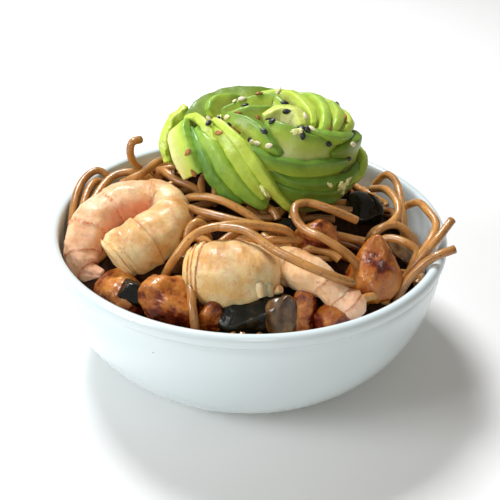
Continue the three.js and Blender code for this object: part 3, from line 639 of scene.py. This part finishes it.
def shrimp_material(s):
    """Fried shrimp: cream flesh that lets light in, pink to the tail, red at its joints, seared on top."""
    f = Finish("Boiled_shrimp", roughness=0.42, subsurface_weight=0.55, subsurface_scale=2.5 * MM,
               subsurface_radius=(1.0, 0.5, 0.25), specular_ior_level=0.3, coat_weight=0.14,
               coat_roughness=0.05)
    flesh = f.blend(f.ramp(f.noise(9, 4, 0.6), (0.4, 0.0), (0.66, 1.0)), s.flesh, "F6E4B4")
    pink = f.blend(f.mark("tail"), flesh, s.pink)
    blush = f.blend(f.span(f.mark("back"), 0.3, 0.05, last=0.55), pink, "D9806A")
    patched = f.blend(f.ramp(f.noise(5, 5, distortion=1.0), (0.56, 0.0), (0.74, 0.45)), blush, "D88848")
    streaks = f.noise(2.2, 4, distortion=1.5)
    near = f.span(f.mark("joint"), 0.012, 0.002, last=0.8)
    seams = f.math("MULTIPLY", near, f.span(streaks, 0.4, 0.58))
    veins = f.ramp(streaks, (0.6, 0.0), (0.625, 0.55), (0.65, 0.0))
    lined = f.blend(f.math("MAXIMUM", seams, veins), patched, s.vein)
    hot = f.math("ADD", f.noise(12, 5, 0.65), f.upward(0.1, 1.0, -0.16, 0.18))
    fried = f.blend(f.ramp(hot, (0.52, 0.0), (0.8, 0.75)), lined, "B87434")
    dots = f.add("TexVoronoi", {"Vector": f.where, "Scale": per(3.2)}).outputs["Distance"]
    f.paint(f.blend(f.span(dots, 0.09, 0.06, last=0.6), fried, "6A3A1C"))
    f.bump(streaks, 0.16, 0.5)
    return f.material


def chicken_material(s):
    """Chicken fried in a sweet sauce: golden on top, dark red in its folds, glossy where sauce sits. Its
    golden tops are partly painted light from above, and its dark lower sides and folds partly painted shade.
    """
    f = Finish("Fried_chicken", subsurface_weight=0.15, subsurface_scale=1.5 * MM, coat_weight=0.4,
               coat_roughness=0.06)
    # Painted shade: the low crest of the crust, in its folds, darkens it, partly for the sauce that sits
    # there, partly as shade.
    raised = f.math("ADD", f.mark("crest"), f.span(f.noise(16, 4, 0.6), 0.3, 0.7, -0.3, 0.3))
    # Painted light: faces that turn up are lighter and golden, faces that turn down darker and redder, as lit
    # from above.
    crust_shade_and_light = f.math("ADD", raised, f.upward(-0.3, 0.9, -0.25, 0.2))
    fried = f.ramp(crust_shade_and_light, (0.0, "3E1208"), (0.25, s.brown), (0.5, s.golden), (0.95, "D08634"))
    crust = f.noise(1.4, 4, 0.7)
    f.paint(f.blend(f.ramp(crust, (0.32, 0.5), (0.44, 0.0)), fried, "7A3518"))
    f.feed(f.shader["Roughness"], f.span(crust_shade_and_light, 0.2, 0.7, 0.16, 0.36))
    f.bump(crust, 0.4, 0.6)
    return f.material


def aubergine_material(s):
    """Fried aubergine: skin that went from purple to a green black, olive where thin, with a wet shine."""
    f = Finish("Fried_aubergine", roughness=0.2)
    f.paint(f.ramp(f.noise(8, 4), (0.45, s.skin), (0.62, "1E1C10"), (0.8, "40321A")))
    f.bump(f.noise(1.5, 3), 0.3, 0.4)
    return f.material


def onion_material(s):
    """Fried onion: glassy layers stained by the sauce, with faint lines along them."""
    f = Finish("Fried_onion", roughness=0.24, subsurface_weight=0.4, subsurface_scale=2.5 * MM,
               coat_weight=0.3, coat_roughness=0.06)
    patches = f.noise(6, 4, 0.6)
    stained = f.ramp(patches, (0.35, "331A09"), (0.52, "5E3C18"), (0.72, s.onion))
    lines = f.add("TexWave", {"Vector": f.where, "Scale": per(14), "Distortion": 6, "Detail": 3})
    f.paint(f.blend(f.math("MULTIPLY", lines.outputs["Fac"], 0.12), stained, "C9B896"))
    f.bump(patches, 0.25, 0.5)
    return f.material


def avocado_material(s):
    """Ripe avocado cut with a knife: green at the skin, then lime, pale yellow by the stone, and moist, with
    painted
    light: olive shade on faces turned from the light, a greener shade on one face of each slice, and a paler
    sheen on some.
    """
    f = Finish("Cut_avocado", roughness=0.4, subsurface_weight=0.2, subsurface_scale=1.2 * MM,
               subsurface_radius=(0.8, 1.0, 0.3), specular_ior_level=0.35, coat_weight=0.2,
               coat_roughness=0.14)
    # ripe moves the colour towards the stone's pale yellow: partly the flesh itself, partly a painted sheen
    # on slices that catch the light.
    ripe = f.mark("ripe")
    waver = f.span(f.noise(9, 4, 0.6), 0.3, 0.7, -0.08, 0.08)
    place = f.math("ADD", f.math("MULTIPLY_ADD", f.mark("depth"), 1 / FLESH, waver), ripe)
    # Painted shade: one broad face of each slice is pushed back towards the green skin colour, as the dark
    # line where one slice shades the next.
    painted_side_shade = f.math("MULTIPLY", f.span(f.mark("side"), 0.72, 1.0, last=0.5), ripe)
    flesh = f.ramp(
        f.math("SUBTRACT", place, painted_side_shade), (0.0, s.rind), (0.07, "74A03C"), (0.2, "92BA46"),
        (0.45, s.lime), (0.72, "D2DC74"), (1.0, s.heart))
    # Olive: partly the flesh's dull colour, partly painted shade on faces turned from the light, in patches.
    olive_and_painted_shade = f.math("MULTIPLY", f.mark("tone"), f.span(f.noise(16, 2), 0.3, 0.7, 0.5))
    base = f.blend(olive_and_painted_shade, flesh, s.olive)
    fine = f.noise(1.3, 4, 0.6)
    mottle = f.span(fine, 0.3, 0.7, 0.93, 1.06)
    f.paint(f.add("VectorMath", {0: base, "Scale": mottle}, operation="SCALE").outputs[0])
    f.bump(fine, 0.32, 0.5)
    return f.material


def sesame_material(name, main, other):
    """A sesame seed's hull: matt with a slight sheen, and a little uneven in colour."""
    f = Finish(name, roughness=0.4)
    f.paint(f.blend(f.span(f.noise(2, 3), 0.35, 0.65), main, other))
    return f.material


def floor_material(s):
    """A smooth painted board, almost white."""
    f = Finish("Pale_floor", roughness=0.6)
    f.paint(f.blend(f.noise(60, 2), s.floor, "F7F7F6"))
    return f.material


# ---------------------------------------------------------------- bowl


def belly(s, angle, inner, outer, low, high):
    """Radius and height on the belly, as the angle goes from 0 at the foot to a right angle at the top."""
    power = 2 / s.round
    return inner + (outer - inner) * math.sin(angle) ** power, low + (high - low) * (
        1 - max(math.cos(angle), 0) ** power)


def inner_reach(s, height):
    """Radius inside the bowl at a height."""
    share = (height - s.floor) / (s.height - 2 * MM - s.floor)
    angle = math.acos(max(0, 1 - share) ** (s.round / 2)) if share > 0 else 0
    return belly(s, angle, s.foot - s.wall, s.rim - s.wall, 0, 1)[0]


def bowl_outline(s):
    inside, quarter, steps = s.rim - s.wall, math.pi / 2, 22
    outline = [(0, 0)]
    outline += [belly(s, quarter * i / steps, s.foot, s.rim - s.proud, 0, s.height - s.lip)
                for i in range(steps + 1)]
    lip = Path([(r, z, 0) for r, z in (
        outline[-1],
        (s.rim - 0.15 * MM, s.height - s.lip + 0.9 * MM),
        (s.rim, s.height - 2 * MM),
        (s.rim - 0.8 * MM, s.height - 0.5 * MM),
        (s.rim - 2 * MM, s.height),
        (inside + 0.6 * MM, s.height - 0.6 * MM),
        (inside, s.height - 2 * MM),
    )])
    outline += [lip.at(k / 24).xy[:] for k in range(1, 24)]
    outline += [belly(s, quarter * i / steps, s.foot - s.wall, inside, s.floor, s.height - 2 * MM)
                for i in range(steps, -1, -1)]
    return outline + [(0, s.floor)]


class NOODLEBOWL_OT_bowl(bpy.types.Operator):
    """Spins the glazed bowl"""
    bl_idname = "noodlebowl.bowl"
    bl_label = "Bowl"

    def execute(self, context):
        s = context.scene.noodlebowl_bowl
        bm = bmesh.new()
        outline = [bm.verts.new((r, 0, z)) for r, z in bowl_outline(s)]
        edges = [bm.edges.new(pair) for pair in zip(outline, outline[1:])]
        bmesh.ops.spin(bm, geom=outline + edges, axis=(0, 0, 1), cent=(0, 0, 0), angle=2 * math.pi, steps=144,
                       use_merge=True)
        bmesh.ops.remove_doubles(bm, verts=bm.verts, dist=1e-6)
        finish_piece(bm, "bowl_glazed", glaze_material(s), ["bowl"])
        return {"FINISHED"}


# ---------------------------------------------------------------- shrimps


def shrimp_run(bm, layers, rings, joints, first, last, relief=1, around=64, along=150):
    """One run of a shrimp's body: each joint's edge laps over the next, and a bluff cut closes either end."""
    path = Path([ring[:3] for ring in rings])
    girth = Path([(ring[3], 0, 0) for ring in rings])
    middle = sum(path.points, Vector()) / len(path.points)

    def place(u, t):
        run, shut = rounded_off(t, 0.06, 2.6)
        centre, ahead = path.at(run), path.tangent(run)
        out = centre - middle
        out.z *= 0.4
        out = (out - ahead * out.dot(ahead)).normalized()
        side = ahead.cross(out)
        angle = 2 * math.pi * u
        back, beside = math.cos(angle), math.sin(angle)
        slant = run + 0.02 * noise.noise(Vector((back, beside, first)) * 1.2)
        off = slant - min(joints, key=lambda joint: abs(joint - slant))
        if off < 0:
            lap = LAP["over"] * math.exp(off / LAP["over_reach"])
        else:
            lap = -LAP["under"] * math.exp(-off / LAP["under_reach"])
        radius = girth.at(run).x * (1 + lap) * shut
        point = centre + out * (signed_power(back, 0.94) * radius * (0.93 if back < 0 else 1)) + side * (
            signed_power(beside, 0.94) * radius * 0.96)
        folds = noise.fractal(Vector((run * 9, back * 1.6, beside * 1.6 + first * 5)), 0.9, 2.1, 4)
        dents = noise.fractal(point * 0.13, 1.0, 2.0, 3)
        point += (point - centre).normalized() * (0.45 * folds + 0.6 * dents) * shut * relief
        point += ahead * ((1 - shut) * (-1 if t < 0.5 else 1) * 1.2 * relief)
        tail = first + (last - first) * run
        return point * MM, (abs(off), 0.5 + 0.5 * back, tail)

    tube(bm, around, along, place, layers)


class NOODLEBOWL_OT_shrimps(bpy.types.Operator):
    """Makes the three shrimps"""
    bl_idname = "noodlebowl.shrimps"
    bl_label = "Shrimps"

    def execute(self, context):
        finish = shrimp_material(context.scene.noodlebowl_toppings)
        for name, runs in SHRIMPS.items():
            bm, layers = marked_mesh("joint", "back", "tail")
            for run in runs:
                shrimp_run(bm, layers, *run)
            for rings in LEGS.get(name, ()):
                shrimp_run(bm, layers, rings, (0.5,), 0.3, 0.3, 0.2, 16, 30)
            finish_piece(bm, name + "_peeled", finish, [name])
        return {"FINISHED"}


# ---------------------------------------------------------------- lumps


def soft_least(values):
    """The least of some numbers above 0, with the corner between near ones rounded."""
    sharp = 18
    return sum(v ** -sharp for v in values) ** (-1 / sharp)


def lump(bm, mark, fineness, crust, grain, at, half, turn, square, rough, seed, taper=0):
    """A rounded block with dents, cut faces, and a crust in lumps of about `grain`, its height marked."""
    random = draw(seed)
    waves = [[6 * next(random) - 3 for _ in range(4)] for _ in range(4)]
    cuts = []
    for _ in range(CUTS["count"]):
        up, around = 2 * next(random) - 1, 2 * math.pi * next(random)
        out = math.sqrt(1 - up * up)
        far = CUTS["near"] + (CUTS["far"] - CUTS["near"]) * next(random)
        cuts.append((Vector((out * math.cos(around), out * math.sin(around), up)), far))
    spin = Euler([math.radians(a) for a in turn], "XYZ").to_matrix()
    for vert in bmesh.ops.create_icosphere(bm, subdivisions=fineness, radius=1)["verts"]:
        p = vert.co.normalized()
        reach = sum(abs(c) ** square for c in p) ** (-1 / square)
        reach = soft_least([reach] + [far / p.dot(face) for face, far in cuts if p.dot(face) > 0.1])
        reach += rough * sum(math.sin(a * p.x + b * p.y + c * p.z + d) for a, b, c, d in waves)
        narrow = 1 - taper * (p.z * reach + 1) / 2
        sizes = (half[0] * narrow, half[1] * narrow, half[2])
        point = spin @ Vector([c * reach * h for c, h in zip(p, sizes)])
        place = (point + Vector(at)) / grain
        broad = noise.ridged_multi_fractal(place * 0.6, 1.0, 2.0, 3, 1.0, 2.0) - 1.1
        bumps = noise.fractal(place, 0.9, 2.1, 5)
        vert.co = (Vector(at) + point + point.normalized() * (bumps * 0.7 + broad * 0.4) * crust) * MM
        vert[mark] = 0.5 + 0.35 * bumps + 0.3 * broad


def make_lumps(kind, finish, fineness, crust, grain):
    for name, spec in LUMPS.items():
        if name.startswith(kind):
            bm, layers = marked_mesh("crest")
            lump(bm, layers[0], fineness, crust, grain, **spec)
            finish_piece(bm, name + "_fried", finish, [name])


class NOODLEBOWL_OT_chicken(bpy.types.Operator):
    """Makes the chunks of fried chicken"""
    bl_idname = "noodlebowl.chicken"
    bl_label = "Chicken"

    def execute(self, context):
        make_lumps("chicken", chicken_material(context.scene.noodlebowl_toppings), 6, 0.7, 5)
        return {"FINISHED"}


class NOODLEBOWL_OT_vegetables(bpy.types.Operator):
    """Makes the pieces of aubergine and onion"""
    bl_idname = "noodlebowl.vegetables"
    bl_label = "Aubergine and onion"

    def execute(self, context):
        s = context.scene.noodlebowl_toppings
        make_lumps("aubergine", aubergine_material(s), 5, 0.4, 6)
        make_lumps("onion", onion_material(s), 5, 0.3, 4)
        return {"FINISHED"}


# ---------------------------------------------------------------- avocado rose


def on_rose(azimuth, elevation, lift):
    """The point of the rose's dome at an azimuth and an elevation, and the direction out of it there."""
    a, e = math.radians(azimuth), math.radians(elevation)
    out, up = math.cos(e) ** (2 / ROSE["plan"]), math.sin(e) ** (2 / ROSE["profile"])
    x, y = out * math.cos(a), out * math.sin(a)
    flat = ROSE["plan"] * out ** (ROSE["plan"] - 2)
    normal = Vector((
        flat * x / ROSE["half_width"], flat * y / ROSE["half_depth"],
        ROSE["profile"] * up ** (ROSE["profile"] - 1) / ROSE["height"],
    )).normalized()
    point = Vector((
        ROSE["x"] + ROSE["half_width"] * x, ROSE["y"] + ROSE["half_depth"] * y,
        ROSE["z"] + ROSE["height"] * up))
    return point + normal * lift, normal


def drift(place):
    """A vector that changes smoothly from place to place, the same in every run."""
    return Vector([noise.noise(place + Vector(apart)) for apart in ((0, 0, 0), (31, 7, 19), (11, 43, 5))])


def avocado_slice(bm, layers, edge, deep, lean, lift=0, thick=4.2, taper=0.25, olive=0, mashed=0, ripe=0):
    """A slice that bends along the dome, cut with a knife, with marks for its colours from skin to stone."""
    out = lift - thick / 2 * math.sin(abs(math.radians(lean)))
    marks = [on_rose(azimuth, elevation, out) for azimuth, elevation in edge]
    path, normals = Path([m[0] for m in marks]), Path([m[1] for m in marks])
    turned = -math.radians(lean)
    own = Vector((edge[0][0], edge[0][1], deep))

    def place(u, t):
        run, shut = rounded_off(t, 0.04, 3)
        ahead = path.tangent(run)
        along = -normals.at(run)
        along = (along - ahead * along.dot(ahead)).normalized()
        along.rotate(Matrix.Rotation(turned, 3, ahead))
        across = ahead.cross(along)
        bulge = max(math.sin(math.pi * run), 0) ** 0.6
        half_deep = deep / 2 * (taper + (1 - taper) * bulge)
        thin = thick / 2 * (0.45 + 0.55 * bulge)
        angle = 2 * math.pi * u
        side = signed_power(math.sin(angle), 0.36)
        inward = -signed_power(math.cos(angle), 0.45)
        tuck = normals.at(run).normalized() * (TUCK * (1 - bulge) * (1 - taper))
        point = path.at(run) - tuck + along * half_deep * (1 + inward * shut) + across * (thin * side * shut)
        sway = noise.noise(point * 0.09 + own) * 0.7 + noise.noise(point * 0.27 + own) * 0.25
        wave = noise.noise(point * 0.16 - own) * 0.5 + noise.noise(point * 0.5 - own) * 0.18
        point += across * sway - along * wave
        if mashed:
            point += drift(point * 0.25) * mashed * 1.3
            point += drift(point * 0.8) * mashed * 0.5
        # The marks: depth from the skin, olive (partly painted shade), ripe (partly painted sheen) and side
        # across the thickness, which the material reads to paint shade on one face.
        return point * MM, (half_deep * (1 + inward * shut), olive, ripe, side * shut)

    tube(bm, 36, 72, place, layers)


class NOODLEBOWL_OT_rose(bpy.types.Operator):
    """Lays the avocado slices into a rose"""
    bl_idname = "noodlebowl.rose"
    bl_label = "Avocado rose"

    def execute(self, context):
        finish = avocado_material(context.scene.noodlebowl_rose)
        for name, spec in SLICES.items():
            bm, layers = marked_mesh("depth", "tone", "ripe", "side")
            avocado_slice(bm, layers, **spec)
            finish_piece(bm, f"avocado_{name}_sliced", finish, [f"avocado_{name}"])
        return {"FINISHED"}


def landed(under, azimuth, elevation):
    """Where something let down onto the rose lands, and the direction out of it there."""
    above, out = on_rose(azimuth, elevation, 14)
    point, normal, _, _ = under.ray_cast(above * MM, -out)
    if point is None:
        raise RuntimeError("a seed has nothing under it")
    return point, normal


def turned_on(normal, random):
    """A turn that lays something flat on a surface, any way round."""
    turn = 2 * math.pi * next(random)
    return normal.to_track_quat("Z", "Y").to_matrix() @ Matrix.Rotation(turn, 3, "Z")


class NOODLEBOWL_OT_sesame(bpy.types.Operator):
    """Sprinkles black, white and toasted sesame over the rose"""
    bl_idname = "noodlebowl.sesame"
    bl_label = "Sesame"

    def execute(self, context):
        s = context.scene.noodlebowl_rose
        under = surface_of(pieces_of("avocado_", "noodles_"))
        random = draw(8)
        finishes = {
            "black": sesame_material("Black_sesame_hull", s.black, "2B2C30"),
            "white": sesame_material("White_sesame_hull", s.white, "E2D2A4"),
            "toasted": sesame_material("Toasted_sesame_hull", s.toasted, "8C5226"),
        }
        for kind, places in SEEDS.items():
            bm = bmesh.new()
            for azimuth, elevation in places:
                point, normal = landed(under, azimuth, elevation)
                tip = turned_on(normal, random)
                for vert in bmesh.ops.create_icosphere(bm, subdivisions=3, radius=0.5)["verts"]:
                    taper = 1 - 0.45 * smoothstep(vert.co.x, -0.1, 0.5)
                    local = Vector((
                        vert.co.x * s.seed_length, vert.co.y * s.seed_width * taper,
                        vert.co.z * s.seed_thickness * taper))
                    vert.co = point + tip @ local + normal * s.seed_thickness * 0.25
            finish_piece(bm, f"sesame_{kind}", finishes[kind])
        self.crumbs(under, random)
        return {"FINISHED"}

    def crumbs(self, under, random):
        """Crumbs that came off the slices: flakes with torn edges."""
        bm, (depth, ripe) = marked_mesh("depth", "ripe")
        for azimuth, elevation, long in CRUMBS:
            point, normal = landed(under, azimuth, elevation)
            tip = turned_on(normal, random)
            own = Vector((azimuth, elevation, long))
            for vert in bmesh.ops.create_icosphere(bm, subdivisions=4, radius=0.5)["verts"]:
                torn = 1 + 0.7 * noise.fractal(vert.co * 3.5 + own, 0.8, 2.1, 3)
                local = Vector((vert.co.x * long, vert.co.y * long * 0.5, vert.co.z * long * 0.3)) * torn
                vert.co = point + (tip @ local + normal * long * 0.1) * MM
                vert[depth] = 8
                vert[ripe] = 0.35
        finish_piece(bm, "avocado_crumbs", bpy.data.materials["Cut_avocado"])


# ---------------------------------------------------------------- noodles


def heap_top(x, y):
    """Height of the heap's surface, in millimetres."""
    out = min(math.hypot(x, y) / HEAP["radius"], 1)
    mound_x, mound_y, mound_height, spread = HEAP["mound"]
    near = math.exp(-((x - mound_x) ** 2 + (y - mound_y) ** 2) / (2 * spread ** 2))
    start, end, deep = HEAP["hollow"]
    front = smoothstep(-y, start, end) * (1 - out ** 4)
    return (HEAP["edge"] + HEAP["rise"] * (1 - out ** HEAP["fall"]) + HEAP["tilt_x"] * x + HEAP["tilt_y"] * y
            + mound_height * near - deep * front)


def rooted(points, margin):
    """A strand's points, run on down into the heap at each end that comes near it."""
    def root(end, before):
        top = heap_top(end[0], end[1])
        if end[2] > top + LOOSE_END:
            return []
        on = Vector(end) + (Vector(end) - Vector(before)).normalized() * 3
        on.z = min(end[2] - 3, top - HEAP["sink"] - 3)
        inside = min(1, margin / math.hypot(on.x, on.y))
        return [(on.x * inside, on.y * inside, on.z)]
    return root(points[0], points[1]) + list(points) + root(points[-1], points[-2])


def strand(bm, layers, places, radius, tone, around=9):
    """One noodle along its places: round with a trace of the corners that it was cut with, and flat ends."""
    sides = frames(places)
    last = len(places) - 1
    lay = tone * 9

    def place(u, t):
        i = round(t * last)
        across, up = sides[i]
        angle = 2 * math.pi * u + lay
        wide = radius * (1 + 0.05 * noise.noise(Vector((i * 0.35, lay, tone))) + 0.03 * math.cos(4 * angle))
        point = places[i] + across * (wide * math.cos(angle)) + up * (wide * math.sin(angle))
        return point * MM, (tone,)

    before = len(bm.verts)
    tube(bm, around, last, place, layers)
    bm.verts.ensure_lookup_table()
    rims = dict.fromkeys(e for v in bm.verts[before:] for e in v.link_edges if e.is_boundary)
    bmesh.ops.holes_fill(bm, edges=list(rims), sides=0)


class Heap:
    """The heights that strands have been piled to, on a grid of one millimetre."""

    half = 76

    def __init__(self):
        axis = range(-self.half, self.half + 1)
        self.top = np.array([[heap_top(x, y) - HEAP["sink"] - 1.5 for y in axis] for x in axis])

    def support(self, x, y):
        i, j = round(x) + self.half, round(y) + self.half
        return float(self.top[i - 1:i + 2, j - 1:j + 2].max())

    def pile(self, places, radius):
        for p in places:
            i, j = round(p.x) + self.half, round(p.y) + self.half
            window = self.top[i - 1:i + 2, j - 1:j + 2]
            np.maximum(window, p.z + radius * 0.8, out=window)


def laid_strand(heap, points, radius):
    """A flat arc let down onto the heap: it rests on what is under it and bridges the hollows."""
    rest = [heap.support(p.x, p.y) + radius * 0.9 for p in points]
    height = list(rest)
    for _ in range(14):
        height = [max(rest[i], (height[max(i - 1, 0)] + height[min(i + 1, len(height) - 1)]) / 2 - 0.03)
                  for i in range(len(height))]
    return [Vector((p.x, p.y, z)) for p, z in zip(points, height)]


def clear_run(places, solids, deepest, front, lip):
    """The longest run of places that goes no further than `deepest` into a solid, and that is low in front.
    The lip is its radius inside and its height."""
    best, run = [], []
    for p in places:
        found = solids.find_nearest(p * MM, NEAR * MM)
        low = lip[1] - LOW["below"] - LOW["slope"] * (lip[0] + p.y)
        sunk = found[0] is not None and (p * MM - found[0]).dot(found[1]) < -deepest * MM
        if sunk or (p.y < -front and p.z > low):
            best, run = (run if len(run) > len(best) else best), []
        else:
            run.append(p)
    return run if len(run) > len(best) else best


class NOODLEBOWL_OT_noodles(bpy.types.Operator):
    """Heaps the noodles round the toppings"""
    bl_idname = "noodlebowl.noodles"
    bl_label = "Noodles"

    def execute(self, context):
        s, bowl = context.scene.noodlebowl_noodles, context.scene.noodlebowl_bowl
        radius = s.diameter / 2 / MM
        random = draw(s.seed)
        wall = (bowl.rim - bowl.wall) / MM
        lip = (wall, bowl.height / MM)
        solids = surface_of(pieces_of("shrimp_", "chicken_", "aubergine_", "onion_", "avocado_"))
        bm, layers = marked_mesh("tone")
        lines = [Path(rooted(points, wall - 7)).spaced(1.5) for points in STRANDS]
        for places in lines:
            strand(bm, layers, places, radius, 0.35 + 0.4 * next(random), 10)
        taken = KDTree(sum(len(places) for places in lines))
        for i, p in enumerate(p for places in lines for p in places):
            taken.insert(p, i)
        taken.balance()
        heap = Heap()
        for i in range(s.tries):
            around = i * math.pi * (3 - math.sqrt(5))
            out = 6 + (wall - FILL["margin"]) * math.sqrt((i * 0.618) % 1)
            bend = (s.smallest + (s.largest - s.smallest) * next(random)) / MM
            start, sweep = 2 * math.pi * next(random), FILL["sweep"] + FILL["more"] * next(random)
            tone = 0.1 + 0.7 * next(random)
            arc = []
            count = round(bend * sweep / FILL["pitch"])
            for k in range(count + 1):
                angle = start + sweep * k / count
                x = out * math.cos(around) + bend * (math.cos(angle) - math.cos(start + sweep / 2))
                y = out * math.sin(around) + bend * (math.sin(angle) - math.sin(start + sweep / 2))
                share = inner_reach(bowl, (heap_top(x, y) - 4) * MM) / MM
                inside = min(1, (share - radius - 0.6) / max(math.hypot(x, y), 1e-6))
                arc.append(Vector((x * inside, y * inside, 0)))
            places = clear_run(laid_strand(heap, arc, radius), solids, radius * 0.8, s.front / MM, lip)
            if len(places) < FILL["least"]:
                continue
            if max(p.z - heap_top(p.x, p.y) for p in places) > FILL["proud"]:
                continue
            if min(taken.find(p)[2] for p in places) < radius * FILL["apart"]:
                continue
            strand(bm, layers, places, radius, tone)
            heap.pile(places, radius)
        finish_piece(bm, "noodles_strands", noodle_material(s), ["noodles"])
        self.bed(s, bowl)
        return {"FINISHED"}

    def bed(self, s, bowl):
        """The sauced inside of the heap, dark with painted shade, which shows only between the strands."""
        bm = bmesh.new()
        edge = (bowl.rim - bowl.wall) - 1.2 * MM
        for vert in bmesh.ops.create_grid(bm, x_segments=90, y_segments=90, size=edge)["verts"]:
            x, y = vert.co.x, vert.co.y
            far = max(abs(x), abs(y)) / max(math.hypot(x, y), 1e-9)
            x, y = x * far / MM, y * far / MM
            rough = noise.fractal(Vector((x, y, 0)) * 0.35, 1, 2, 3) * 0.8
            vert.co = Vector((x, y, heap_top(x, y) - HEAP["sink"] - 0.6 + rough)) * MM
        rim = [e for e in bm.edges if e.is_boundary]
        for level in (0.6, 0.3, 0.1):
            grown = bmesh.ops.extrude_edge_only(bm, edges=rim)["geom"]
            for vert in (g for g in grown if isinstance(g, bmesh.types.BMVert)):
                height = bowl.floor + 0.5 * MM + (bowl.height - bowl.floor) * level
                flat = vert.co.xy.normalized() * (inner_reach(bowl, height) - 1.2 * MM)
                vert.co = (flat.x, flat.y, height)
            rim = [g for g in grown if isinstance(g, bmesh.types.BMEdge) and g.is_boundary]
        close(bm)
        finish_piece(bm, "noodles_bed", sauce_and_shade_material(s), ["noodles"])


# ---------------------------------------------------------------- stage


class NOODLEBOWL_OT_stage(bpy.types.Operator):
    """Sets up the floor, the soft lights and the camera"""
    bl_idname = "noodlebowl.stage"
    bl_label = "Stage"

    def execute(self, context):
        s, scene = context.scene.noodlebowl_stage, context.scene
        bm = bmesh.new()
        bmesh.ops.create_grid(bm, x_segments=2, y_segments=2, size=3)
        mesh = bpy.data.meshes.new("floor")
        bm.to_mesh(mesh)
        bm.free()
        mesh.materials.append(floor_material(s))
        floor = bpy.data.objects.new("floor", mesh)
        scene.collection.objects.link(floor)

        world = bpy.data.worlds.new("Soft_sky")
        world.use_nodes = True
        world.node_tree.nodes["Background"].inputs["Color"].default_value = (*linear("FFF8F0"), 1)
        world.node_tree.nodes["Background"].inputs["Strength"].default_value = s.sky
        scene.world = world

        for name, (place, width, tint) in LIGHTS.items():
            light = bpy.data.lights.new(name, "AREA")
            light.energy = getattr(s, name.lower())
            light.size = width
            light.color = linear(tint)
            lamp = bpy.data.objects.new(name, light)
            lamp.location = place
            lamp.rotation_euler = (Vector(LIT) - lamp.location).to_track_quat("-Z", "Y").to_euler()
            scene.collection.objects.link(lamp)

        camera = bpy.data.cameras.new("Camera")
        camera.sensor_width = 36
        camera.lens = CAMERA["lens"]
        camera.clip_start = 0.01
        shooter = bpy.data.objects.new("Camera", camera)
        down = math.radians(CAMERA["elevation"])
        ahead = Vector((0, math.cos(down), -math.sin(down)))
        stand = (Vector(CAMERA["aim"]) - ahead * CAMERA["distance"]) * MM
        shooter.matrix_world = (
            Matrix.Translation(stand) @ ahead.to_track_quat("-Z", "Y").to_matrix().to_4x4()
            @ Matrix.Rotation(math.radians(CAMERA["roll"]), 4, "Z"))
        scene.collection.objects.link(shooter)
        scene.camera = shooter
        scene.view_settings.view_transform = "Standard"
        return {"FINISHED"}


# ---------------------------------------------------------------- panel and registration


class NOODLEBOWL_PT_panel(bpy.types.Panel):
    bl_label = "Noodle bowl"
    bl_idname = "NOODLEBOWL_PT_panel"
    bl_space_type = "VIEW_3D"
    bl_region_type = "UI"
    bl_category = "Noodle bowl"

    def draw(self, context):
        for operator in OPERATORS:
            self.layout.operator(operator.bl_idname)
        for name, group in SETTINGS.items():
            box = self.layout.box()
            for key in group.__annotations__:
                box.prop(getattr(context.scene, name), key)


SETTINGS = {
    "noodlebowl_bowl": BowlSettings,
    "noodlebowl_noodles": NoodleSettings,
    "noodlebowl_toppings": ToppingSettings,
    "noodlebowl_rose": RoseSettings,
    "noodlebowl_stage": StageSettings,
}
OPERATORS = [
    NOODLEBOWL_OT_bowl, NOODLEBOWL_OT_shrimps, NOODLEBOWL_OT_chicken, NOODLEBOWL_OT_vegetables,
    NOODLEBOWL_OT_rose, NOODLEBOWL_OT_noodles, NOODLEBOWL_OT_sesame, NOODLEBOWL_OT_stage,
]


def register():
    for group in (*SETTINGS.values(), *OPERATORS, NOODLEBOWL_PT_panel):
        bpy.utils.register_class(group)
    for name, group in SETTINGS.items():
        setattr(bpy.types.Scene, name, PointerProperty(type=group))


def unregister():
    for name in SETTINGS:
        delattr(bpy.types.Scene, name)
    for group in reversed((*SETTINGS.values(), *OPERATORS, NOODLEBOWL_PT_panel)):
        bpy.utils.unregister_class(group)


def main():
    register()
    for operator in OPERATORS:
        group, name = operator.bl_idname.split(".")
        getattr(getattr(bpy.ops, group), name)()
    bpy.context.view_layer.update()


if __name__ == "__main__":
    main()
